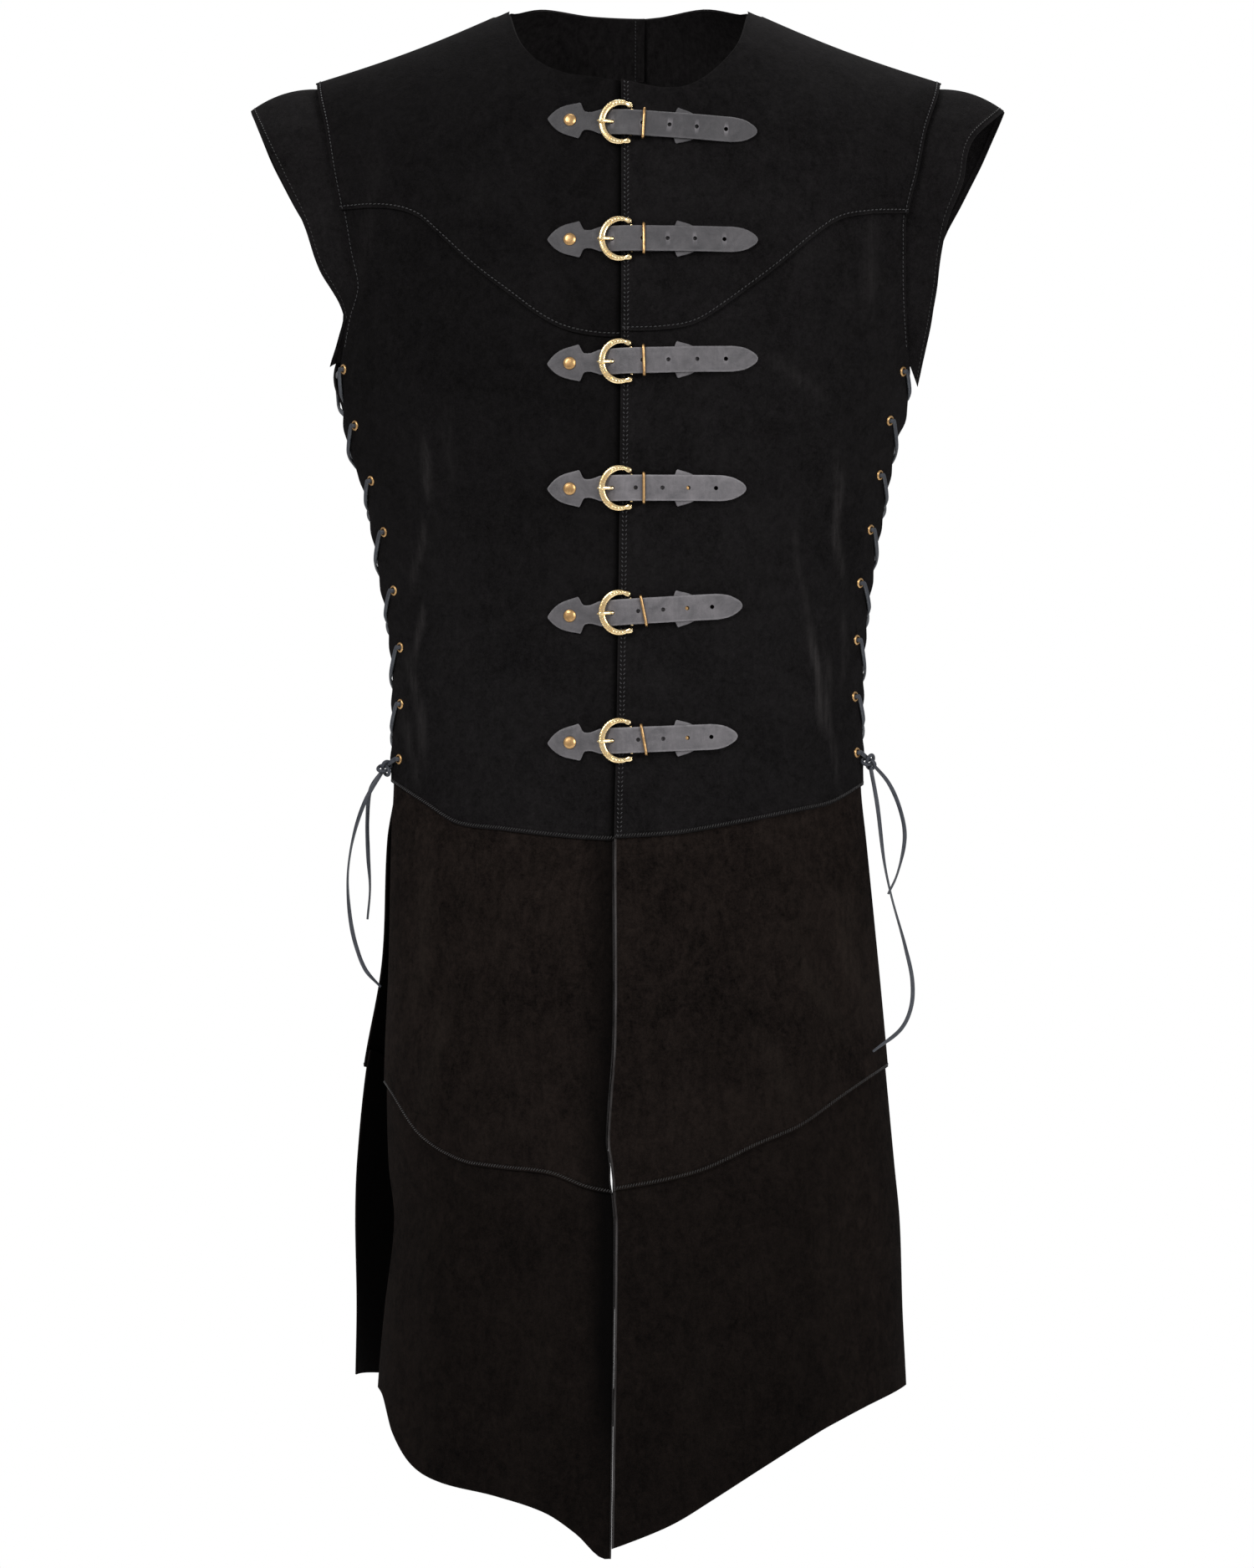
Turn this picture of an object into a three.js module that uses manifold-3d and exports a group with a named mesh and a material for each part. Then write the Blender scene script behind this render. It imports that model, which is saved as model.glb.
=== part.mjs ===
import * as THREE from 'three';
import { mergeVertices } from 'three/addons/utils/BufferGeometryUtils.js';
import Module from 'manifold-3d';

const wasm = await Module();
wasm.setup();

// A sleeveless leather tunic that is worn open at both sides and laced there.
// Millimetres. Front faces -Y, Z is up, and the wearer's left is +X.
// The origin lies between the shoulders, midway up the two shoulder seams.

// Leather
const WALL = 1.6;
const LAYER = 2.1;
const LAP_LIFT = 2.6;
const LAP_FULL = 24;
const LAP_END = 60;
const UNDERLAP = 11.5;
const SEAM_LAP = 12;
const SHOULDER_GAP = 0.4;

// Shoulders
const NECK_OUT = 84.5;
const NECK_Z = 19.5;
const TIP_OUT = 222;
const TIP_Z = -32;
const SHOULDER_SAG = 3;
const CROWN_Z = 50;
const CROWN_ROUND = 100;
const FULLNESS = 2.1;

// Heights
const BLADE_Z = -127;
const UNDERARM_Z = -226;
const BELLY_Z = -477;

// Lacing
const LACE_RADIUS = 1.5;
const LACE_CLEAR = 0.6;
const LACE_SIDES = 6;
const LACE_OUTER_DROP = 0.43;
const LACE_INNER_RISE = 0.17;
const LACE_CROSS = 2.2;
const EYELET_HOLE = 3.2;
const PUNCH_DEEP = 16;
const PUNCH_SIDES = 8;
const EYELET_TURN = 2.6;
const BACK_EYELET_INSET = 12;
const KNOT_RADIUS = 4.2;
const KNOT_DROP = 5;
const KNOT_CLEAR = 0.5;
const LAST_CROSS_DROP = 2;
const TAIL_CLEAR = 0.2;
const TAIL_STEP = 8;
const TAIL_SIDES = 8;

// Buckle sets
const RIVET_X = -41;
const STRAP_THICK = 2.2;
const STATION_GAP = 0.8;
const TIP_GAP = 3;
const TAB_THICK = 1.6;
const BAR_X = 1.8;
const BAR_HEIGHT = 5.4;
const ARC_HEIGHT = 5.5;
const KEEPER_X = 10.4;
const KEEPER_LOW = 3.7;
const KEEPER_HIGH = 10.2;
const KEEPER_HALF = 10.3;
const KEEPER_CORNER = 1.4;
const PIN_RADIUS = 0.8;
const PIN_SIDES = 6;
const SLOT = { x: -10.4, height: 4, long: 6.4, deep: 20, tall: 4.6 };
const TAB_START = 1.6;
const TAB_STRAIGHT = 14;
const TAB_ARROW = 0.87;
const BUCKLE_X = -6;
const BUCKLE_REACH = 12.6;
const BUCKLE_HALF = 13.9;
const BUCKLE_TURN = 128;
const BUCKLE_STEPS = 12;
const BUCKLE_RADIUS = 1.6;
const BUCKLE_END_RADIUS = 1.25;
const RIVET_CLEAR = 0.4;
const RIVET_SIDES = 10;
const RIVET_PROFILE = [[0, 0], [4.6, 0], [4.6, 0.5], [3.6, 1.6], [2, 2.2], [0, 2.4]];

// One row for each level. The four side edges are given by their distance from
// the middle, with how far forward or back of the middle they lie, and the
// depths are those of the centre front and the centre back.
const SECTIONS = [
  { z: 40, frontRight: 222, frontLeft: 222, backRight: 222, backLeft: 222, frontY: 42, backY: 50, front: 76, back: 98 },
  { z: -29, frontRight: 222, frontLeft: 222, backRight: 222, backLeft: 222, frontY: 48, backY: 54, front: 88, back: 104 },
  { z: -68, frontRight: 213, frontLeft: 209, backRight: 214, backLeft: 212, frontY: 56, backY: 60, front: 97, back: 108 },
  { z: -99, frontRight: 207, frontLeft: 202, backRight: 206, backLeft: 203, frontY: 61, backY: 63, front: 102, back: 110 },
  { z: -127, frontRight: 201, frontLeft: 195, backRight: 198, backLeft: 195, frontY: 63, backY: 62, front: 106, back: 112 },
  { z: -155, frontRight: 196, frontLeft: 194, backRight: 193, backLeft: 192, frontY: 63, backY: 56, front: 110, back: 113 },
  { z: -180, frontRight: 191, frontLeft: 194, backRight: 192, backLeft: 191, frontY: 60, backY: 46, front: 113, back: 113 },
  { z: -203, frontRight: 197, frontLeft: 195, backRight: 197, backLeft: 192, frontY: 51, backY: 34, front: 116, back: 113 },
  { z: -236, frontRight: 202, frontLeft: 197, backRight: 212, backLeft: 194, frontY: 39, backY: 20, front: 118, back: 112 },
  { z: -265, frontRight: 201, frontLeft: 196, backRight: 202, backLeft: 193, frontY: 34, backY: 16, front: 118, back: 110 },
  { z: -290, frontRight: 198, frontLeft: 188, backRight: 198, backLeft: 188, frontY: 34, backY: 16, front: 117, back: 108 },
  { z: -320, frontRight: 187, frontLeft: 182.5, backRight: 187, backLeft: 183, frontY: 34, backY: 16, front: 115, back: 106 },
  { z: -380, frontRight: 176, frontLeft: 172, backRight: 176, backLeft: 172, frontY: 34, backY: 16, front: 110, back: 101 },
  { z: -440, frontRight: 167, frontLeft: 165.5, backRight: 167, backLeft: 166, frontY: 34, backY: 16, front: 106, back: 98 },
  { z: -530, frontRight: 167, frontLeft: 165, backRight: 168, backLeft: 165, frontY: 34, backY: 15, front: 106, back: 98 },
  { z: -571, frontRight: 169, frontLeft: 169, backRight: 174, backLeft: 168, frontY: 32, backY: 13, front: 108, back: 101 },
  { z: -660, frontRight: 171, frontLeft: 178, backRight: 178, backLeft: 176, frontY: 30, backY: 11, front: 114, back: 108 },
  { z: -735, frontRight: 174, frontLeft: 185, backRight: 191, backLeft: 182, frontY: 29, backY: 10, front: 119, back: 114 },
  { z: -800, frontRight: 173, frontLeft: 191, backRight: 197.5, backLeft: 187, frontY: 29, backY: 10, front: 122, back: 117 },
  { z: -842, frontRight: 169, frontLeft: 195, backRight: 199, backLeft: 189, frontY: 29, backY: 10, front: 123, back: 119 },
  { z: -905, frontRight: 176, frontLeft: 197, backRight: 198, backLeft: 191, frontY: 29, backY: 10, front: 126, back: 121 },
  { z: -965, frontRight: 181, frontLeft: 200, backRight: 199, backLeft: 194, frontY: 29, backY: 10, front: 128, back: 123 },
  { z: -1080, frontRight: 186, frontLeft: 204, backRight: 200, backLeft: 198, frontY: 29, backY: 10, front: 132, back: 127 },
];

// Where the left half's centre edge runs, and how far the right half keeps off it
const CENTRE = {
  front: [
    { z: 40, x: -5.2, gap: 0.8 },
    { z: -225, x: -5.2, gap: 0.8 },
    { z: -480, x: -8, gap: 0.8 },
    { z: -571, x: -9.9, gap: 0.8 },
    { z: -705, x: -9.9, gap: 0.8 },
    { z: -777, x: -14.4, gap: 0.8 },
    { z: -795, x: -12.2, gap: 0.8 },
    { z: -806, x: -11, gap: 2 },
    { z: -818, x: -10.4, gap: 0.8 },
    { z: -840, x: -9, gap: 0.8 },
    { z: -1080, x: -12, gap: 0.8 },
  ],
  back: [
    { z: 40, x: 9, gap: 1.4 },
    { z: -530, x: 0, gap: 0.8 },
    { z: -700, x: -8, gap: 1 },
    { z: -806, x: -12, gap: 4 },
    { z: -1080, x: -6, gap: 2 },
  ],
};

// Neck edge from the centre out to the shoulder
const NECK = {
  front: [
    { right: -41, rightOut: 0, left: -40, leftOut: 0 },
    { right: -38.2, rightOut: 23, left: -46, leftOut: 24 },
    { right: -34.6, rightOut: 45, left: -42.6, leftOut: 44 },
    { right: -25, rightOut: 63.5, left: -28.2, leftOut: 63 },
    { right: -8, rightOut: 76.5, left: -8.5, leftOut: 77 },
    { right: NECK_Z, rightOut: NECK_OUT, left: NECK_Z, leftOut: NECK_OUT },
  ],
  back: [
    { right: 26.8, rightOut: 0, left: 26.8, leftOut: 0 },
    { right: 27.6, rightOut: 26, left: 27.6, leftOut: 22 },
    { right: 28.5, rightOut: 60, left: 29.5, leftOut: 54 },
    { right: NECK_Z, rightOut: NECK_OUT, left: NECK_Z, leftOut: NECK_OUT },
  ],
};

// Heights of the cross seams and of the hem, by distance from the middle
const YOKE_EDGE = [
  { out: -12, right: -221, left: -217 },
  { out: 20, right: -220.5, left: -216.5 },
  { out: 43, right: -216, left: -212.5 },
  { out: 60, right: -207.5, left: -203 },
  { out: 80, right: -192.5, left: -188.5 },
  { out: 105, right: -172.5, left: -169 },
  { out: 130, right: -149, left: -147.5 },
  { out: 147, right: -134, left: -136 },
  { out: 169, right: -127, left: -131 },
  { out: 204, right: -126, left: -128 },
];
const WAIST = {
  front: [
    { out: -12, right: -570.5, left: -568.5 },
    { out: 30, right: -569, left: -566 },
    { out: 53, right: -567, left: -562.5 },
    { out: 88, right: -563, left: -556 },
    { out: 120, right: -558.5, left: -549.5 },
    { out: 143, right: -544.5, left: -544 },
    { out: 172, right: -526, left: -527 },
  ],
  back: [
    { out: -12, right: -562, left: -562 },
    { out: 100, right: -552, left: -552 },
    { out: 172, right: -528, left: -528 },
  ],
};
const SKIRT_SEAM = {
  front: [
    { out: -12, right: -817.5, left: -812.5 },
    { out: 27, right: -811.5, left: -805.5 },
    { out: 55, right: -801.5, left: -798 },
    { out: 90, right: -798, left: -782 },
    { out: 120, right: -793.5, left: -770 },
    { out: 148, right: -777.5, left: -752 },
    { out: 171, right: -747, left: -738.5 },
    { out: 186, right: -733, left: -731 },
  ],
  back: [
    { out: -12, right: -802, left: -802 },
    { out: 100, right: -784, left: -784 },
    { out: 194, right: -732, left: -732 },
  ],
};
const HEM = {
  front: [
    { out: -12, right: -1056, left: -1059 },
    { out: 17, right: -1066, left: -1048 },
    { out: 37, right: -1049, left: -1039 },
    { out: 59, right: -1035, left: -1026 },
    { out: 94, right: -1025, left: -1005 },
    { out: 135, right: -1018, left: -982 },
    { out: 155, right: -1008, left: -973 },
    { out: 169, right: -988, left: -967.5 },
    { out: 178, right: -962, left: -964.5 },
    { out: 200, right: -955, left: -958 },
  ],
  back: [
    { out: -12, right: -1010, left: -1010 },
    { out: 60, right: -1000, left: -1000 },
    { out: 120, right: -974, left: -974 },
    { out: 200, right: -955, left: -955 },
  ],
};

// How far the sleeve's hem stands out from the armhole, drops below it and
// draws in towards the arm, by the armhole's height
const SLEEVE = {
  front: [
    { z: -29, right: 50, rightDrop: 16, left: 49, leftDrop: 16, inward: 0 },
    { z: -68, right: 44, rightDrop: 10, left: 34, leftDrop: 8, inward: -2 },
    { z: -99, right: 36, rightDrop: 9, left: 34, leftDrop: 8, inward: 0 },
    { z: -127, right: 27, rightDrop: 13, left: 29.5, leftDrop: 10, inward: 4 },
    { z: -151, right: 24, rightDrop: 12, left: 26, leftDrop: 12, inward: 7 },
    { z: -177, right: 19, rightDrop: 6, left: 23.5, leftDrop: 12, inward: 8 },
    { z: -203, right: 4, rightDrop: 2, left: 18, leftDrop: 10, inward: 7 },
    { z: -226, right: 3, rightDrop: 2, left: 9, leftDrop: 23, inward: 4 },
  ],
  back: [
    { z: -29, right: 50, rightDrop: 16, left: 49, leftDrop: 16, inward: 0 },
    { z: -68, right: 45, rightDrop: 12, left: 45, leftDrop: 12, inward: -2 },
    { z: -127, right: 31, rightDrop: 10, left: 34, leftDrop: 10, inward: 3 },
    { z: -181, right: 16, rightDrop: 8, left: 23, leftDrop: 8, inward: 6 },
    { z: -205, right: 13, rightDrop: 6, left: 17, leftDrop: 6, inward: 5 },
    { z: -226, right: 7, rightDrop: 4, left: 10, leftDrop: 4, inward: 4 },
  ],
};
const SLEEVE_BULGE = 4.5;
const SLEEVE_WIDEST = 50;
const SLEEVE_LEAN = 0.3;
const SLEEVE_SEAM = 8;
const SLEEVE_UNDER = 0.7;
const SLEEVE_CELLS = 3;

// The largest folds: a soft ridge from one point to the other
const FOLDS = [
  { panel: 'frontRight', out: 146, z: -285, toOut: 139, toZ: -360, rise: 3, width: 12 },
  { panel: 'frontRight', out: 141, z: -420, toOut: 137, toZ: -500, rise: 2.5, width: 12 },
  { panel: 'frontRight', out: 150, z: -705, toOut: 96, toZ: -800, rise: 4, width: 16 },
  { panel: 'frontRight', out: 118, z: -840, toOut: 128, toZ: -1010, rise: 4, width: 20 },
  { panel: 'frontLeft', out: 147, z: -300, toOut: 143, toZ: -390, rise: 3, width: 12 },
  { panel: 'frontLeft', out: 134, z: -400, toOut: 126, toZ: -500, rise: 3, width: 12 },
  { panel: 'frontLeft', out: 112, z: -600, toOut: 130, toZ: -760, rise: 3, width: 18 },
  { panel: 'frontLeft', out: 96, z: -790, toOut: 110, toZ: -985, rise: 5, width: 22 },
  { panel: 'backRight', out: 70, z: -600, toOut: 95, toZ: -950, rise: 7, width: 24 },
  { panel: 'backRight', out: 130, z: -290, toOut: 100, toZ: -470, rise: 3, width: 14 },
  { panel: 'backLeft', out: 60, z: -600, toOut: 85, toZ: -950, rise: 7, width: 24 },
  { panel: 'backLeft', out: 128, z: -300, toOut: 104, toZ: -470, rise: 3, width: 14 },
];

// Eyelets of the two front halves, from the armhole down to the waist
const EYELETS = [
  { right: 200.2, rightZ: -236.7, left: 192.5, leftZ: -238.5 },
  { right: 191.9, rightZ: -277, left: 183, leftZ: -273.4 },
  { right: 180.6, rightZ: -315.5, left: 175.9, leftZ: -311.9 },
  { right: 171.5, rightZ: -352.2, left: 169.5, leftZ: -350.4 },
  { right: 164.5, rightZ: -393.6, left: 162, leftZ: -388.3 },
  { right: 159.9, rightZ: -433.9, left: 159.9, leftZ: -428.5 },
  { right: 159.9, rightZ: -474.1, left: 158.5, leftZ: -468.8 },
  { right: 161, rightZ: -513.2, left: 160, leftZ: -508.5 },
];

// Buckle sets from the neck down: rivet height, tilt, free tip and keeper lean
const SETS = [
  { z: -68.2, tilt: 3.3, tip: 89.8, lean: 0, layers: 2 },
  { z: -152.7, tilt: -0.2, tip: 89.8, lean: 0, layers: 2 },
  { z: -239.2, tilt: -1.8, tip: 89.8, lean: 0, layers: 1 },
  { z: -325.9, tilt: -0.3, tip: 81.7, lean: 0, layers: 1 },
  { z: -413.8, tilt: -3.6, tip: 79.4, lean: 0.14, layers: 1 },
  { z: -501.9, tilt: -2.3, tip: 76, lean: 0.14, layers: 1 },
];

// Height of the undersides of a strap and of its tab over the panel
const RISE = [
  { x: -60, strap: 0.5, tab: 4.8 },
  { x: -24, strap: 0.5, tab: 4.8 },
  { x: -18, strap: 0.8, tab: 4.8 },
  { x: -14.5, strap: 1.5, tab: 4.8 },
  { x: -11, strap: 3.3, tab: 4.8 },
  { x: -8, strap: 5, tab: 4.8 },
  { x: -3, strap: 6.7, tab: 4.8 },
  { x: BAR_X, strap: 7.2, tab: 4.8 },
  { x: 6, strap: 7.1, tab: 4.8 },
  { x: KEEPER_X, strap: 6.8, tab: 4.8 },
  { x: 14, strap: 6.8, tab: 4.8 },
  { x: 22, strap: 5.4, tab: 3.4 },
  { x: 30, strap: 5.2, tab: 3.2 },
  { x: 40, strap: 4.4, tab: 2.4 },
  { x: 53, strap: 3.1, tab: 1.1 },
  { x: 60, strap: 1.9, tab: 0.5 },
  { x: 68, strap: 0.8, tab: 0.5 },
  { x: 95, strap: 0.5, tab: 0.5 },
];
const STRAP_HALF = 9;
const ARROW = [
  { along: -15, half: 1 },
  { along: -12.5, half: 4.2 },
  { along: -7, half: 8.6 },
  { along: 0, half: 11.8 },
  { along: 5, half: 13 },
  { along: 8.5, half: 9.6 },
  { along: 12.5, half: 6.9 },
  { along: 17, half: 7.4 },
  { along: 22, half: STRAP_HALF },
];
const FREE_TIP = [
  { back: 18, half: STRAP_HALF },
  { back: 10, half: 7.8 },
  { back: 4, half: 5 },
  { back: 0, half: 1.4 },
];
const TAB_RIVET_X = 39.4;
const TONGUE = [
  { x: 0.2, height: 5 },
  { x: -3, height: 4.3 },
  { x: -8, height: 3.8 },
  { x: -11, height: 4.7 },
  { x: -14, height: 6.4 },
  { x: -18.6, height: 8.2 },
  { x: -21.2, height: 7.9 },
];

// Free ends of the laces, by the points they pass on the way from the knot
const TAILS = {
  tail_right: [
    [-186, -42, -541], [-193, -38, -559], [-198, -34, -580], [-200, -30, -600],
    [-198, -28, -628], [-194, -29, -646], [-187, -32, -663], [-176.5, -30, -675],
  ],
  tail_right_back: [
    [-184, -22, -534], [-187, -10, -556], [-187, 0, -582], [-186, 6, -606], [-188, 10, -628],
  ],
  tail_left_long: [
    [176, -46, -545], [181, -46, -586], [186, -46, -610], [196, -44, -646],
    [201, -44, -670], [200, -48, -688], [193, -54, -703], [172, -66, -719],
  ],
  tail_left_short: [
    [185, -29, -530], [193, -28, -548], [196.5, -29, -568], [191, -30, -595], [184.5, -31, -609],
  ],
};

const SUEDE_BODY = { color: '#17161a', roughness: 0.95, metalness: 0 };
const SUEDE_SKIRT = { color: '#1f1b18', roughness: 0.95, metalness: 0 };
const STRAP_LEATHER = { color: '#4b4a51', roughness: 0.6, metalness: 0 };
const LACE_LEATHER = { color: '#2b2e36', roughness: 0.6, metalness: 0 };
const BRASS = { color: '#d9b866', roughness: 0.25, metalness: 1 };
const OLD_BRASS = { color: '#b98a4c', roughness: 0.35, metalness: 1 };

const part = new THREE.Group();

function addPiece(name, geometry, look) {
  const mesh = new THREE.Mesh(geometry, new THREE.MeshStandardMaterial(look));
  mesh.name = name;
  part.add(mesh);
}

// Smooth curve through one column of a table, read at a value of its key
function read(rows, key, column, at) {
  const rising = rows[rows.length - 1][key] > rows[0][key] ? 1 : -1;
  let i = 1;
  while (i < rows.length - 1 && rising * (at - rows[i][key]) > 0) i += 1;
  const slope = (j) => {
    const a = rows[Math.max(j - 1, 0)];
    const b = rows[Math.min(j + 1, rows.length - 1)];
    return (b[column] - a[column]) / (b[key] - a[key]);
  };
  const from = rows[i - 1];
  const to = rows[i];
  const span = to[key] - from[key];
  const t = THREE.MathUtils.clamp((at - from[key]) / span, 0, 1);
  const bend = t * (1 - t);
  const line = from[column] + (to[column] - from[column]) * t * t * (3 - 2 * t);
  return line + span * bend * (slope(i - 1) * (1 - t) - slope(i) * t);
}

function readStraight(rows, key, column, at) {
  let i = 1;
  while (i < rows.length - 1 && at > rows[i][key]) i += 1;
  const t = THREE.MathUtils.clamp((at - rows[i - 1][key]) / (rows[i][key] - rows[i - 1][key]), 0, 1);
  return THREE.MathUtils.lerp(rows[i - 1][column], rows[i][column], t);
}

const lower = { Right: 'right', Left: 'left' };
const sideSign = { Right: -1, Left: 1 };
const halfSign = { front: -1, back: 1 };

function shoulderHeight(out) {
  const t = (out - NECK_OUT) / (TIP_OUT - NECK_OUT);
  if (t < 0) return NECK_Z + (CROWN_Z - NECK_Z) * (1 - (out / NECK_OUT) ** 2);
  return THREE.MathUtils.lerp(NECK_Z, TIP_Z, t) - SHOULDER_SAG * Math.sin(Math.PI * Math.min(t, 1));
}

function edgeOut(half, side, z) {
  return read(SECTIONS, 'z', half + side, z);
}

function foldRise(panel, out, z) {
  let rise = 0;
  for (const fold of FOLDS.filter((row) => row.panel === panel)) {
    const along = new THREE.Vector2(fold.toOut - fold.out, fold.toZ - fold.z);
    const here = new THREE.Vector2(out - fold.out, z - fold.z);
    const t = here.dot(along) / along.lengthSq();
    const off = here.cross(along) / along.length();
    const ends = Math.exp(-((2 * t - 1) ** 4));
    rise += fold.rise * ends * Math.exp(-((off / fold.width) ** 2));
  }
  return rise;
}

// A level section is a rounded arc from the centre line to the side edge, and
// towards the shoulder seam it closes in like the quarter of an ellipse.
function surface(half, side, out, z, lapped = true) {
  const edge = read(SECTIONS, 'z', half + side, z);
  const edgeDepth = read(SECTIONS, 'z', `${half}Y`, z);
  const depth = read(SECTIONS, 'z', half, z);
  const reach = edge / (1 - (edgeDepth / depth) ** FULLNESS) ** (1 / FULLNESS);
  const arc = Math.max(1 - Math.abs(out / reach) ** FULLNESS, 0) ** (1 / FULLNESS);
  const fall = THREE.MathUtils.clamp((shoulderHeight(Math.abs(out)) - z) / CROWN_ROUND, 0, 1);
  const crown = Math.sqrt(1 - (1 - fall) ** 2);
  let depthHere = depth * arc * crown;
  if (crown > 0) depthHere += foldRise(half + side, out, z);
  if (lapped && side === 'Left') {
    depthHere += LAP_LIFT * (1 - THREE.MathUtils.smoothstep(out, LAP_FULL, LAP_END));
  }
  return new THREE.Vector3(sideSign[side] * out, halfSign[half] * depthHere, z);
}

function surfaceNormal(half, side, out, z) {
  const step = 1;
  const across = surface(half, side, out + step, z).sub(surface(half, side, out - step, z));
  const down = surface(half, side, out, z - step).sub(surface(half, side, out, z + step));
  return across.cross(down).multiplyScalar(sideSign[side] * halfSign[half]).normalize();
}

// Grid of one quarter, from the neck to the hem

const PLAN = {
  front: {
    columns: 10, turn: 1.29, crowding: 1.12, yoke: 5, underarm: 9, belly: 5, waist: 17, seam: 22, hem: 26,
  },
  back: {
    columns: 8, turn: 1.44, crowding: 1.3, yoke: 4, underarm: 7, belly: 4, waist: 13, seam: 17, hem: 21,
  },
};

function centreOut(half, side, z) {
  const x = read(CENTRE[half], 'z', 'x', z);
  return side === 'Left' ? x : -x + read(CENTRE[half], 'z', 'gap', z);
}

// Places a column, by its share of the way from the centre edge to the side edge
function placeOut(half, side, share, z) {
  const centre = centreOut(half, side, z);
  return centre + share * (edgeOut(half, side, z) - centre);
}

function lineRow(half, side, line, raise = 0) {
  const { columns, turn, crowding } = PLAN[half];
  const row = [];
  for (let c = 0; c <= columns; c += 1) {
    const share = Math.sin(turn * (1 - (1 - c / columns) ** crowding)) / Math.sin(turn);
    let z = line(100 * share);
    for (let pass = 0; pass < 4; pass += 1) z = line(placeOut(half, side, share, z));
    row.push({ share, z: z + raise });
  }
  return row;
}

function topRow(half, side) {
  const neck = NECK[half];
  const { columns } = PLAN[half];
  const row = [];
  for (let c = 0; c <= columns; c += 1) {
    const onNeck = c < neck.length;
    const t = (c - neck.length + 1) / (columns - neck.length + 1);
    const out = onNeck ? neck[c][`${lower[side]}Out`] : THREE.MathUtils.lerp(NECK_OUT, TIP_OUT, t);
    const z = onNeck ? neck[c][lower[side]] : shoulderHeight(out);
    const centre = centreOut(half, side, z);
    const edge = z > TIP_Z ? TIP_OUT : edgeOut(half, side, z);
    row.push({ share: c === 0 ? 0 : (out - centre) / (edge - centre), z });
  }
  return row;
}

function tableLine(rows, side) {
  return (out) => read(rows, 'out', lower[side], out);
}

function quarter(half, side) {
  const plan = PLAN[half];
  const level = (z) => lineRow(half, side, () => z);
  const yokeEdge = lineRow(half, side, tableLine(YOKE_EDGE, side));
  const waist = tableLine(WAIST[half], side);
  const seam = tableLine(SKIRT_SEAM[half], side);
  const keys = [
    { at: 0, row: topRow(half, side) },
    { at: plan.yoke, row: half === 'front' ? yokeEdge : level(BLADE_Z) },
    { at: plan.underarm, row: level(UNDERARM_Z) },
    { at: plan.underarm + plan.belly, row: level(BELLY_Z) },
    { at: plan.waist - 1, row: lineRow(half, side, waist, SEAM_LAP) },
    { at: plan.waist, row: lineRow(half, side, waist) },
    { at: plan.seam - 1, row: lineRow(half, side, seam, SEAM_LAP) },
    { at: plan.seam, row: lineRow(half, side, seam) },
    { at: plan.hem, row: lineRow(half, side, tableLine(HEM[half], side)) },
  ];
  const points = [];
  for (let k = 1; k < keys.length; k += 1) {
    const from = keys[k - 1];
    const to = keys[k];
    const first = k === 1 ? 0 : 1;
    for (let r = first; r <= to.at - from.at; r += 1) {
      const even = r / (to.at - from.at);
      const t = k === 1 ? 1 - Math.cos((even * Math.PI) / 2) : even;
      const spread = k === 1 ? even : t;
      points.push(from.row.map((start, c) => {
        const z = THREE.MathUtils.lerp(start.z, to.row[c].z, t);
        const share = THREE.MathUtils.lerp(start.share, to.row[c].share, spread);
        const out = z > TIP_Z ? centreOut(half, side, z) * (1 - share) + share * TIP_OUT
          : placeOut(half, side, share, z);
        return surface(half, side, out, z);
      }));
    }
  }
  if (side === 'Right') {
    points.forEach((row) => row.unshift(surface(half, side, -UNDERLAP, row[0].z)));
  } else {
    points.forEach((row) => row.unshift(row[0].clone()));
  }
  return { half, side, points, normals: gridNormals(half, side, points) };
}

// Column 0 is the underlap and column 1 the centre edge. Along the shoulder
// seam the normals lie in the seam's own plane.
function gridNormals(half, side, points) {
  const sign = sideSign[side] * halfSign[half];
  const firstColumn = side === 'Right' ? 0 : 1;
  const neckColumn = NECK[half].length;
  return points.map((row, r) => row.map((point, c) => {
    const left = row[Math.max(c - 1, firstColumn)];
    const right = row[Math.min(c + 1, row.length - 1)];
    const up = points[Math.max(r - 1, 0)][c];
    const down = points[Math.min(r + 1, points.length - 1)][c];
    if (c < firstColumn) return new THREE.Vector3(0, halfSign[half], 0);
    const across = right.clone().sub(left);
    const normal = across.cross(down.clone().sub(up)).multiplyScalar(sign);
    if (r === 0 && c >= neckColumn) normal.setY(0);
    return normal.normalize();
  }));
}

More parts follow.
